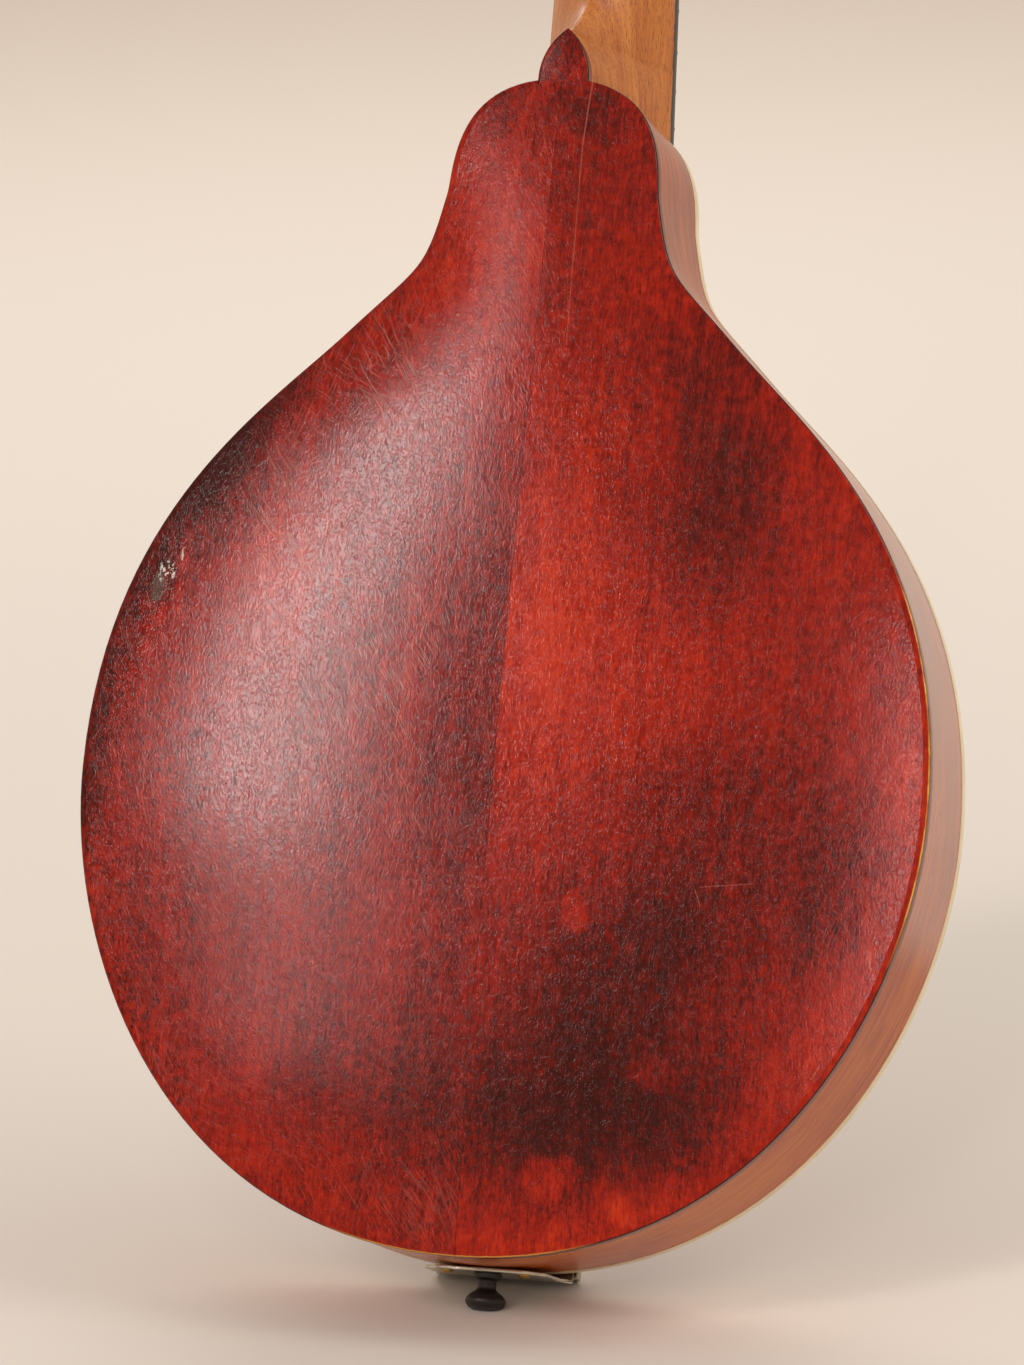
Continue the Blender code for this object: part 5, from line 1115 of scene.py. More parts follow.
@dataclass(frozen=True)
class WornMetal:
    """A bare or plated metal, dulled in clouds where hands and air have reached it."""

    name: str
    clean: str
    dull: str
    roughness: tuple[float, float]
    cloud: float = 9.0
    winding: float = 0.0
    ridge: float = 0.00003

    def material(self) -> Material:
        """Return the finish of the metal, ridged across the instrument where it is wound wire."""
        recipe = Recipe(self.name)
        mm = recipe.coordinates()
        cloud = recipe.streaks(mm, (self.cloud,) * 3, 4.0, 0.6)
        shade = recipe.add("MapRange", {1: 0.35, 2: 0.7}, {0: cloud})
        colour = recipe.add("ValToRGB", {"stops": ((0.0, self.clean), (1.0, self.dull))}, {0: shade})
        low, high = self.roughness
        gloss = recipe.add("MapRange", {1: 0.35, 2: 0.7, 3: low, 4: high}, {0: cloud})
        height = None
        if self.winding:
            z = recipe.add("SeparateXYZ", None, {0: mm}, take="Z")
            turn = recipe.add("Math", {**MULTIPLY, 1: math.tau / self.winding}, {0: z})
            wave = recipe.add("Math", {"operation": "SINE"}, {0: turn})
            height = recipe.add("Math", {**MULTIPLY, 1: self.ridge}, {0: wave})
        return recipe.finish(colour, gloss, height, {"Metallic": 1.0})


@dataclass
class Finishes:
    """Every finish of the instrument, made once."""

    made: dict[str, Material] = field(default_factory=dict)

    def build(self, hole_height: float) -> None:
        """Make the materials under the names that the pieces ask for."""
        finishes = {
            # Real: birch with red spirit varnish, rubbed. It is glassy, streaked, and hazy with hairlines.
            "back": BirchBackVarnish(),
            # Real: the same varnish, browner on the sides, where it is worn thin.
            "sides": BentSideVarnish(),
            # Real: spruce with the same varnish. Close straight lines show through it.
            "top": SpruceTopVarnish(hole_height),
            # Real: mahogany with a thin varnish that hands have made satin.
            "neck": MahoganyVarnish(),
            # Real: ebony, oiled. Nearly black, with a low sheen along its grain.
            "ebony": StreakedWood("ebony", "#0C0A09", "#211B18", 0.4),
            # Real: raw spruce and willow inside the body, dry and dull.
            "raw": StreakedWood("raw_spruce", "#A07F55", "#CDB083", 0.75, (0.9, 0.9, 40.0)),
            # Real: celluloid that was ivory white and has yellowed.
            "celluloid": SmoothStuff("aged_celluloid", "#E6CC98", "#F8E6BC", 0.34, (14.0,) * 3),
            # Real: polished bone, faintly streaked.
            "bone": SmoothStuff("polished_bone", "#D6C9A6", "#EDE5CC", 0.36, (0.6, 0.6, 5.0)),
            # Real: mother of pearl in the fingerboard, cool and cloudy.
            "pearl": SmoothStuff("mother_of_pearl", "#B9C2BE", "#EFEDE6", 0.2, (1.6,) * 3),
            # Real: nickel plate on brass, slightly yellowed.
            "nickel": WornMetal("nickel_plate", "#D3CDBF", "#A39A88", (0.16, 0.38)),
            # Real: cut brass gears, browned between the teeth.
            "brass": WornMetal("gear_brass", "#D9B45C", "#8F6D33", (0.26, 0.5), 4.0),
            # Real: turned steel worms and drawn steel strings.
            "steel": WornMetal("drawn_steel", "#C9C9C6", "#8C8984", (0.22, 0.42), 6.0),
            # Real: bronze wire wound on steel.
            "bronze": WornMetal("wound_bronze", "#C98F55", "#8C5C33", (0.3, 0.5), 8.0, 0.28),
        }
        for name, finish in finishes.items():
            self.made[name] = finish.material()


# Body pieces


@dataclass
class Body:
    """The sound box: two carved plates, bent sides and binding, and the inner pieces."""

    form: BodyForm
    neck: "NeckForm"
    finishes: dict[str, Material]
    hole: tuple[float, float] = (28.0 * MM, 21.0 * MM)
    hole_drop: float = 4.0 * MM
    binding: tuple[float, float] = (1.6 * MM, 3.2 * MM)
    pin_place: float = -11.0 * MM
    pin_bore: float = 3.6 * MM
    inner_nodes: tuple[str, ...] = ("top_lining", "back_lining", "neck_block", "tail_block", "tone_bar")

    @property
    def hole_height(self) -> float:
        """Height of the sound hole's middle."""
        return self.neck.board_foot - self.hole_drop - self.hole[1]

    def build(self) -> None:
        """Model and dress every piece of the sound box."""
        self.back()
        self.front()
        self.sides()
        self.binding_strip()
        for node in self.inner_nodes:
            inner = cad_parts[node]
            inner.data.materials.clear()
            inner.data.materials.append(self.finishes["raw"])

    def back(self) -> None:
        """Carve the back plate with its heel button."""
        carving = CarvedPlate(self.form, Facing.BACK, crown=11.0 * MM, wall=3.5 * MM, fullness=2.6,
                              hollow_fullness=3.0, edge_radius=1.0 * MM)
        plate = carving.build("carved_back")
        set_attribute(plate, "edge", self.form.edge_place(points_of(plate)) / MM)
        smooth(plate, 40.0)
        dress(plate, self.finishes["back"], stands_for=("back_plate",))

    def front(self) -> None:
        """Carve the soundboard, cut its hole and its seat for the fingerboard."""
        carving = CarvedPlate(self.form, Facing.FRONT, crown=15.0 * MM, wall=4.0 * MM, fullness=2.2,
                              hollow_fullness=2.6, edge_radius=0.0, binding=self.binding)
        board = carving.build("carved_soundboard")
        angles = np.arange(96) * math.tau / 96
        oval = np.column_stack((self.hole[0] * np.cos(angles), np.zeros(96),
                                self.hole_height + self.hole[1] * np.sin(angles)))
        tool = loft("hole_tool", np.array([oval + (0, y, 0) for y in (-0.07, -0.01)]))
        cut(board, tool)
        cut(board, self.neck.board_room("seat_tool", self.neck.board_foot - 0.2 * MM, 0.36, 0.1 * MM))
        smooth(board, 35.0)
        dress(board, self.finishes["top"], stands_for=("soundboard",))

    def sides(self) -> None:
        """Bend the sides, with their run kept for the grain."""
        form = self.form
        outer, inner = form.overhang, form.overhang + form.rim_wall
        edge = form.half_depth - 0.02 * MM
        levels = np.linspace(-edge, edge, 5)
        rings = [form.at_level(form.outline(outer), level, Facing.BACK) for level in levels]
        rings += [form.at_level(form.outline(inner), level, Facing.BACK) for level in (edge, -edge)]
        band = loft("bent_sides", np.array(rings), band=True)
        line = form.outline()
        steps = np.linalg.norm(np.diff(line, axis=0), axis=1)
        run = np.concatenate(((0.0,), np.cumsum(steps)))
        half = len(form.half_outline(form.steps))
        run[half:] = run[1:len(run) - half + 1][::-1]
        spots = points_of(band)[:, (0, 2)]
        nearest = np.array([np.argmin(((line - spot) ** 2).sum(axis=1)) for spot in spots])
        set_attribute(band, "run", run[nearest] / MM)
        bore = ((-0.02, self.pin_bore), (0.02, self.pin_bore))
        cut(band, lathe("pin_tool", bore, Matrix.Translation((0, self.pin_place, 0))))
        smooth(band, 35.0)
        dress(band, self.finishes["sides"], stands_for=("rim",))

    def binding_strip(self) -> None:
        """Lay the binding strip into the soundboard's rabbet with its outer corner eased."""
        form, (size, height), ease = self.form, self.binding, 0.35 * MM
        top = form.edge_level
        low = top - height + 0.02 * MM
        section = ((low, 0.0), (top - ease, 0.0), (top - 0.1 * MM, 0.1 * MM), (top, ease),
                   (top, size), (low, size))
        rings = [form.at_level(form.outline(inset), level, Facing.FRONT) for level, inset in section]
        strip = loft("binding_strip", np.array(rings), band=True)
        smooth(strip, 50.0)
        dress(strip, self.finishes["celluloid"], stands_for=("top_binding",))


# Neck and headstock


def smooth_line(places: Iterable[tuple[float, float]], samples: int) -> np.ndarray:
    """Return rows of a smooth curve through places, with a number of samples on each stretch."""
    spots = np.array(list(places), dtype=float)
    spots = np.vstack((2 * spots[0] - spots[1], spots, 2 * spots[-1] - spots[-2]))
    rows = []
    for a, b, c, d in zip(spots, spots[1:], spots[2:], spots[3:]):
        for t in np.arange(samples) / samples:
            rows.append(0.5 * (2 * b + (c - a) * t + (2 * a - 5 * b + 4 * c - d) * t * t
                               + (3 * b - a - 3 * c + d) * t ** 3))
    return np.array(rows + [spots[-2]])


@dataclass(frozen=True)
class NeckForm:
    """Neck, fingerboard and headstock in the sizes that the solids are built from."""

    body: BodyForm
    scale_length: float = 353.0 * MM
    fret_count: int = 20
    body_fret: int = 11
    angle: float = math.radians(5.0)
    board_thickness: float = 4.8 * MM
    board_lift: float = 0.55 * MM
    board_past: float = 4.0 * MM
    nut_width: float = 29.5 * MM
    board_width: float = 39.4 * MM
    nut_thickness: float = 4.5 * MM
    fret_height: float = 1.0 * MM
    heel: tuple[tuple[float, float], ...] = ((0.4, 0.0), (5.4, 8.0), (9.9, 13.1), (14.0, 16.6), (24.8, 22.1))
    ridge_width: float = 0.8 * MM
    shaft_start: float = 40.0 * MM
    depth_body: float = 22.8 * MM
    depth_nut: float = 20.5 * MM
    head_angle: float = math.radians(19.0)
    head_length: float = 150.0 * MM
    head_thickness: float = 14.5 * MM
    veneer: float = 1.8 * MM
    head_side: tuple[tuple[float, float], ...] = ((-14.0, 14.6), (3.0, 15.4), (9.0, 17.8), (15.0, 23.0),
                                                  (21.0, 28.2), (27.0, 30.0))
    head_top: tuple[float, float] = (124.0 * MM, 36.5 * MM)
    head_corner: float = 7.0 * MM
    volute: float = 16.0 * MM
    row_x: float = 18.5 * MM
    row_flare: float = 0.0875
    post_first: float = 34.0 * MM
    post_pitch: float = 23.0 * MM

    @property
    def nut_height(self) -> float:
        """Height of the nut's front edge."""
        return self.body.length + self.scale_length * (1 - 2 ** (-self.body_fret / 12))

    @property
    def nut_end(self) -> float:
        """Height of the nut's far edge, where the headstock starts."""
        return self.nut_height + self.nut_thickness

    @property
    def board_foot(self) -> float:
        """Height of the fingerboard's lower end."""
        return self.fret_place(self.fret_count) - self.board_past

    @property
    def tip(self) -> float:
        """Height of the heel button's tip."""
        return self.body.length + self.body.button_length

    def fret_place(self, fret: int) -> float:
        """Return a fret's height."""
        return self.nut_height - self.scale_length * (1 - 2 ** (-fret / 12))

    def board_level(self, z: float, depth: float = 0.0) -> float:
        """Return y on the fingerboard's face at a height, or a depth behind it."""
        rise = (self.body.length - z) * math.tan(self.angle)
        under = self.body.edge_level + self.board_lift
        return -under - self.board_thickness - rise + depth / math.cos(self.angle)

    def board_half(self, z: float) -> float:
        """Return the fingerboard's half width at a height."""
        share = (z - self.body.length) / (self.nut_height - self.body.length)
        return (self.board_width + (self.nut_width - self.board_width) * share) / 2

    def board_room(self, name: str, low: float, high: float, spare: float,
                   wide: float | None = None) -> Piece:
        """Return a tool that takes away the fingerboard's room between two heights."""
        rings = []
        for z in (low, high):
            half = wide or self.board_half(z) + spare
            face = self.board_level(z, self.board_thickness + spare)
            rings.append([(-half, face, z), (half, face, z), (half, -0.12, z), (-half, -0.12, z)])
        return loft(name, np.array(rings))

    def head_point(self, along: float, x: float, out: float) -> Vector:
        """Return a point of the headstock: along it, across it and out of its wooden face."""
        start = Vector((x, self.board_level(self.nut_end, self.board_thickness), self.nut_end))
        up = Vector((0, math.sin(self.head_angle), math.cos(self.head_angle)))
        front = Vector((0, -math.cos(self.head_angle), math.sin(self.head_angle)))
        return start + up * along + front * out

    def head_axes(self, side: int) -> tuple[Vector, Vector, Vector]:
        """Return a tuner row's axes: up the row, across it and out of the headstock's back."""
        origin = self.head_point(0, 0, 0)
        row = (self.head_point(1, 0, 0) - origin + Vector((side * self.row_flare, 0, 0))).normalized()
        back = self.head_point(0, 0, -1) - origin
        return row, back.cross(row), back

    def tuner_frame(self, side: int, along: float, out: float) -> Matrix:
        """Return a matrix at a place of a tuner row: X up the row, Z out of the back."""
        row, across, back = self.head_axes(side)
        place = self.head_point(0, side * self.row_x, -self.head_thickness) + row * along + back * out
        return Matrix.Translation(place) @ Matrix((row, across, back)).transposed().to_4x4()

    def post_along(self, index: int) -> float:
        """Return a post's distance up its row."""
        return self.post_first + index * self.post_pitch

    def ridge_level(self, z: float) -> float:
        """Return y of the back of the neck on the centreline."""
        shaft = self.tip + self.shaft_start
        cap = self.body.half_depth - 0.02 * MM
        if z <= self.tip:
            return cap
        share = (z - shaft) / (self.nut_height - shaft)
        depth = self.depth_body + (self.depth_nut - self.depth_body) * share
        if z >= shaft:
            return self.board_level(z) + depth / math.cos(self.angle)
        places = [(self.tip + up * MM, self.body.half_depth - deep * MM) for up, deep in self.heel]
        for height in (shaft, shaft + 20 * MM):
            places.append((height, self.board_level(height) + self.depth_body / math.cos(self.angle)))
        line = smooth_line(places, 12)
        return min(cap, float(np.interp(z, line[:, 0], line[:, 1])))

    def button_half(self, z: float) -> float:
        """Return the half width of the heel under the button at a height."""
        body = self.body
        climb = min(body.button_length, max(0.0, z - body.length))
        half = math.sqrt(body.button_radius ** 2 - climb ** 2) - (body.button_radius - body.button_width / 2)
        return max(self.ridge_width / 2, half)

    def section(self, z: float, half: float, flat: float, face: float, ridge: float, fullness: float,
                steps: int = 14) -> np.ndarray:
        """Return a section of the neck from one fingerboard edge round its back to the other."""
        angles = np.linspace(0, math.pi / 2, steps)
        across = np.clip(np.cos(angles), 0, 1) ** (2 / fullness)
        down = np.clip(np.sin(angles), 0, 1) ** (2 / fullness)
        x = flat + (half - flat) * across
        y = face + (ridge - face) * down
        right = np.column_stack((x, y, np.full(steps, z)))
        return np.vstack((right, right[::-1] * (-1, 1, 1)))

    def ring(self, z: float) -> np.ndarray:
        """Return the neck's section at a height up to the nut's end."""
        blend = min(1.0, max(0.0, (z - self.tip) / (self.shaft_start * 1.4)))
        half = self.board_half(min(z, self.nut_height))
        face = self.board_level(z, self.board_thickness)
        return self.section(z, half, self.button_half(z), face, self.ridge_level(z), 1.0 + 1.1 * blend)

    def volute_ring(self, share: float) -> np.ndarray:
        """Return the section where the shaft's round back fades into the headstock."""
        z = self.nut_end + self.volute
        half = self.board_half(self.nut_height) * 0.75
        levels = []
        for out in (-self.head_thickness / 4, -self.head_thickness + 0.5 * MM):
            point = self.head_point(0, 0, out)
            levels.append(point.y + (z - point.z) * math.tan(self.head_angle))
        end = self.section(z, half, self.ridge_width / 2, levels[0], levels[1], 2.1)
        eased = share * share * (3 - 2 * share)
        mixed = self.ring(self.nut_end) * (1 - eased) + end * eased
        mixed[:, 2] = self.nut_end + self.volute * share
        return mixed

    def head_outline(self, start: float, inset: float = 0.0) -> np.ndarray:
        """Return the headstock's outline as (along, x) rows, moved inwards by an inset."""
        line = smooth_line(self.head_side, 8) * MM
        line = line[line[:, 0] > start + 0.2 * MM]
        side = [(start, float(np.interp(start, *np.array(self.head_side).T * MM)))]
        side += [tuple(place) for place in line]
        for i in range(13):
            angle = math.radians(7.5 * i)
            side.append((self.head_top[0] + self.head_corner * math.sin(angle),
                         self.head_top[1] - self.head_corner * (1 - math.cos(angle))))
        low, wide = side[-1]
        for i in range(1, 20):
            share = i / 20
            side.append((low + (self.head_length - low) * math.sin(share * math.pi / 2) ** 1.6,
                         wide * (1 - share) ** 0.9))
        rows = np.array(side + [(self.head_length, 0.0)] + [(a, -x) for a, x in reversed(side)])
        if inset:
            way = np.roll(rows, -1, axis=0) - np.roll(rows, 1, axis=0)
            way /= np.linalg.norm(way, axis=1)[:, None]
            rows = rows - np.column_stack((way[:, 1], -way[:, 0])) * inset * -1
        return rows

    def head_slab(self, name: str, start: float, layers: Iterable[tuple[float, float]]) -> Piece:
        """Return a slab of the headstock's outline from (out, inset) layers."""
        rings = []
        for out, inset in layers:
            rings.append([tuple(self.head_point(a, x, out)) for a, x in self.head_outline(start, inset)])
        return loft(name, np.array(rings))

    def bores(self, name: str, radius: float) -> Piece:
        """Return the tool that bores the headstock for its posts."""
        tools = []
        bore = ((-0.04, radius), (0.02, radius))
        for side in Side:
            for index in range(4):
                place = self.tuner_frame(side.value, self.post_along(index), 0.0)
                tools.append(lathe(f"{name}_{side.name}_{index}", bore, place, 24))
        return join(tools, name)


@dataclass
class Neck:
    """The neck with its headstock, veneer, fingerboard, frets, dots and nut."""

    form: NeckForm
    finishes: dict[str, Material]
    dots: tuple[tuple[int, float], ...] = ((5, 0.0), (7, 0.0), (10, 0.0), (12, -7.0), (12, 7.0), (15, 0.0))
    dot_radius: float = 2.6 * MM
    bore: float = 3.3 * MM

    def build(self) -> None:
        """Model and dress the neck's pieces."""
        self.shaft()
        self.fingerboard()
        nut = refined_copy("nut", "bone_nut", 0.25 * MM)
        dress(nut, self.finishes["bone"], stands_for=("nut",))

    def shaft(self) -> None:
        """Carve heel, shaft and headstock as one piece, and lay the veneer on it."""
        form, body = self.form, self.form.body
        heights = list(np.linspace(body.length - 8 * MM, body.length, 4, endpoint=False))
        heights += list(body.length + body.button_length * np.sin(np.linspace(0, math.pi / 2, 16)))
        heights += list(np.linspace(form.tip + 0.4 * MM, form.tip + 60 * MM, 36))
        heights += list(np.linspace(form.tip + 66 * MM, form.nut_end, 14))
        rings = [form.ring(z) for z in heights]
        rings += [form.volute_ring(share) for share in np.linspace(0.1, 1.0, 10)]
        neck = loft("carved_neck", np.array(rings))
        back = -form.head_thickness
        layers = ((back, 1.0 * MM), (back + 0.3 * MM, 0.3 * MM), (back + 1.0 * MM, 0.0), (0.0, 0.0))
        cut(neck, form.head_slab("head_slab", form.head_side[0][0] * MM, layers), "UNION")
        cut(neck, form.board_room("face_tool", body.length - 12 * MM, form.nut_end, 0.0, 60 * MM))
        outline = body.outline(-0.02 * MM)
        inset = body.outline(body.overhang - 0.02 * MM)
        room = ((outline, -0.1), (outline, -body.half_depth), (inset, -body.half_depth), (inset, 0.1))
        rings = [body.at_level(rows, level, Facing.BACK) for rows, level in room]
        cut(neck, loft("foot_tool", np.array(rings)))
        cut(neck, form.bores("bore_tool", self.bore))
        smooth(neck, 32.0)
        dress(neck, self.finishes["neck"], stands_for=("neck",))
        veneer = form.head_slab("head_veneer", 0.3 * MM, (
            (0.01 * MM, 0.0), (form.veneer, 0.0), (form.veneer + 0.25 * MM, 0.12 * MM),
            (form.veneer + 0.3 * MM, 0.45 * MM)))
        cut(veneer, form.bores("veneer_bore_tool", self.bore))
        smooth(veneer, 32.0)
        dress(veneer, self.finishes["ebony"], stands_for=("headstock_veneer",))

    def fingerboard(self) -> None:
        """Shape the fingerboard with its frets and position dots."""
        form = self.form
        rings = []
        for z in (form.board_foot, form.nut_height):
            half, face = form.board_half(z), form.board_level(z)
            under = form.board_level(z, form.board_thickness)
            rings.append([(-half, face, z), (half, face, z), (half, under, z), (-half, under, z)])
        board = loft("ebony_fingerboard", np.array(rings))
        finish_modifier(board, "BEVEL", {"width": 0.35 * MM, "segments": 3})
        smooth(board, 35.0)
        dress(board, self.finishes["ebony"], stands_for=("fingerboard",))
        frets = join([self.fret(n) for n in range(1, form.fret_count + 1)], "fret_wires")
        smooth(frets, 50.0)
        dress(frets, self.finishes["nickel"])
        dots = []
        disc = ((-1.0 * MM, self.dot_radius), (0.04 * MM, self.dot_radius))
        turn = Matrix.Rotation(math.pi / 2 - form.angle, 4, "X")
        for fret, x in self.dots:
            z = (form.fret_place(fret) + form.fret_place(fret - 1)) / 2
            place = Matrix.Translation((x * MM, form.board_level(z), z)) @ turn
            dots.append(lathe(f"dot_{fret}_{x:.0f}", disc, place, 32))
        pearl = join(dots, "position_dots")
        smooth(pearl, 40.0)
        dress(pearl, self.finishes["pearl"])

    def fret(self, number: int) -> Piece:
        """Return one fret wire: a half-round crown with its ends filed aslant."""
        form = self.form
        z = form.fret_place(number)
        half = form.board_half(z)
        angles = np.linspace(0, math.pi, 9)
        rings = []
        for x, share in ((-half, 0.25), (-half + 0.7 * MM, 1.0), (half - 0.7 * MM, 1.0), (half, 0.25)):
            y = form.board_level(z) - form.fret_height * share * np.sin(angles) + 0.05 * MM
            rings.append(np.column_stack((np.full(9, x), y, z + 0.65 * MM * np.cos(angles))))
        return loft(f"fret_{number}", np.array(rings))


# Strings


@dataclass(frozen=True)
class StringPlan:
    """One string's course, post, size and places."""

    name: str
    side: Side
    post: int
    radius: float
    wound: bool
    nut_x: float
    bridge_x: float
    hook_x: float


@dataclass
class Strings:
    """The eight strings, with their turns on the posts and their loops on the hooks."""

    neck: NeckForm
    finishes: dict[str, Material]
    diameters: tuple[float, ...] = (1.02 * MM, 0.66 * MM, 0.38 * MM, 0.28 * MM)
    wrap_height: float = 6.3 * MM
    waist: float = 2.3 * MM
    action: float = 1.8 * MM
    nut_relief: float = 0.5 * MM
    hook_height: float = 2.6 * MM
    hook_place: float = 38.0 * MM
    hook_radius: float = 0.8 * MM
    tail_lift: float = 3.0 * MM
    tail_sheet: float = 1.0 * MM
    nut_pitch: tuple[float, float] = (7.87 * MM, 2.0 * MM)
    bridge_pitch: tuple[float, float] = (12.7 * MM, 2.6 * MM)
    hook_pitch: float = 5.0 * MM

    @property
    def nut_level(self) -> float:
        """Level of the strings at the nut."""
        return self.neck.board_level(self.neck.nut_height) - self.neck.fret_height - self.nut_relief

    @property
    def bridge_level(self) -> float:
        """Level of the strings at the bridge."""
        octave = self.neck.nut_height - self.neck.scale_length / 2
        over = self.neck.board_level(octave) - self.neck.fret_height - self.action
        return self.nut_level + 2 * (over - self.nut_level)

    @property
    def bridge_height(self) -> float:
        """Height of the bridge over the tail."""
        return self.neck.nut_height - self.neck.scale_length

    def tail_point(self, x: float, along: float, out: float) -> Vector:
        """Return a point over the tailpiece's sheet: across, up the strings and out."""
        start = -self.neck.body.edge_level - self.tail_lift - self.tail_sheet - self.hook_height
        slope = math.atan((start - self.bridge_level) / self.bridge_height)
        way = Vector((0, -math.sin(slope), math.cos(slope)))
        front = Vector((0, -math.cos(slope), -math.sin(slope)))
        bridge = Vector((0, self.bridge_level, self.bridge_height))
        foot = bridge - way * (self.bridge_height / math.cos(slope))
        return foot - front * self.hook_height + way * along + front * out + Vector((x, 0, 0))

    def plans(self) -> list[StringPlan]:
        """Return the plans of the eight strings from the bass side."""
        plans = []
        for course in range(4):
            side = Side.bass if course < 2 else Side.treble
            for pair in range(2):
                outer = pair == (0 if side is Side.bass else 1)
                nut_x, bridge_x = (between_courses * (course - 1.5) + within_course * (pair - 0.5)
                                   for between_courses, within_course in (self.nut_pitch, self.bridge_pitch))
                plans.append(StringPlan(
                    name=f"string_{'gdae'[course]}{pair + 1}", side=side,
                    post=(0 if course in (0, 3) else 2) + (0 if outer else 1),
                    radius=self.diameters[course] / 2, wound=course < 2, nut_x=nut_x, bridge_x=bridge_x,
                    hook_x=(2 * course + pair - 3.5) * self.hook_pitch))
        return plans

    def route(self, plan: StringPlan) -> list[Vector]:
        """Return a string's points from its turns on the post to its loop on the hook."""
        neck, side = self.neck, plan.side.value
        origin = neck.head_point(0, 0, 0)
        up, front = neck.head_point(1, 0, 0) - origin, neck.head_point(0, 0, 1) - origin
        row = neck.head_axes(side)[0]
        centre = (neck.head_point(0, side * neck.row_x, 0) + row * neck.post_along(plan.post)
                  + front * (neck.veneer + 0.3 * MM + self.wrap_height))
        start = Vector((plan.nut_x, self.nut_level, neck.nut_height))
        radius = self.waist + plan.radius + 0.3 * MM
        flat = centre - start
        across, along = flat.x, flat.dot(up)
        distance = math.hypot(across, along)
        heading = math.atan2(along, across) + math.asin(radius / distance) * side
        reach = math.sqrt(distance ** 2 - radius ** 2)
        angle = math.atan2(reach * math.sin(heading) - along, start.x + reach * math.cos(heading) - centre.x)
        turns = max(1, min(4, int(1.5 * MM / (2 * plan.radius))))
        drop = 2 * plan.radius + 0.05 * MM
        points = []
        steps = 20 * turns
        for i in range(steps, -1, -1):
            turned = angle + side * math.tau * i / 20
            points.append(centre + Vector((radius * math.cos(turned), 0, 0)) + up * radius * math.sin(turned)
                          - front * drop * i / 20)
        points.append(start)
        points.append(Vector((plan.bridge_x, self.bridge_level, self.bridge_height)))
        loop = self.hook_radius + 0.3 * MM + plan.radius
        for i in range(17):
            turned = -math.radians(15 * i)
            points.append(self.tail_point(plan.hook_x + loop * math.cos(turned),
                                          self.hook_place + loop * math.sin(turned), self.hook_height))
        return points

    def build(self) -> None:
        """Draw every string as a round wire."""
        for plan in self.plans():
            curve = bpy.data.curves.new(plan.name + "_wire", "CURVE")
            curve.dimensions = "3D"
            # A hair thinner than the solid, whose facets lie inside its round
            curve.bevel_depth = plan.radius - 0.01 * MM
            curve.bevel_resolution = 2
            curve.use_fill_caps = True
            route = self.route(plan)
            spline = curve.splines.new("POLY")
            spline.points.add(len(route) - 1)
            for point, place in zip(spline.points, route):
                point.co = (*place, 1.0)
            wire = bpy.data.objects.new(plan.name + "_wire", curve)
            bpy.context.scene.collection.objects.link(wire)
            activate(wire)
            bpy.ops.object.convert(target="MESH")
            wire = bpy.context.object
            smooth(wire, 60.0)
            metal, slot = ("bronze", "wound_string") if plan.wound else ("steel", "plain_string")
            dress(wire, self.finishes[metal], stands_for=(plan.name,))


# Tuners


def screw_profile(foot: float, rim: float, rise: float, radius: float,
                  angles: np.ndarray) -> list[tuple[float, float]]:
    """Return the (distance, radius) stations of a domed screw head, from its foot over its rim."""
    dome = [(rim + rise * math.sin(a), radius * math.cos(a)) for a in angles]
    return [(foot, radius), (rim, radius)] + dome


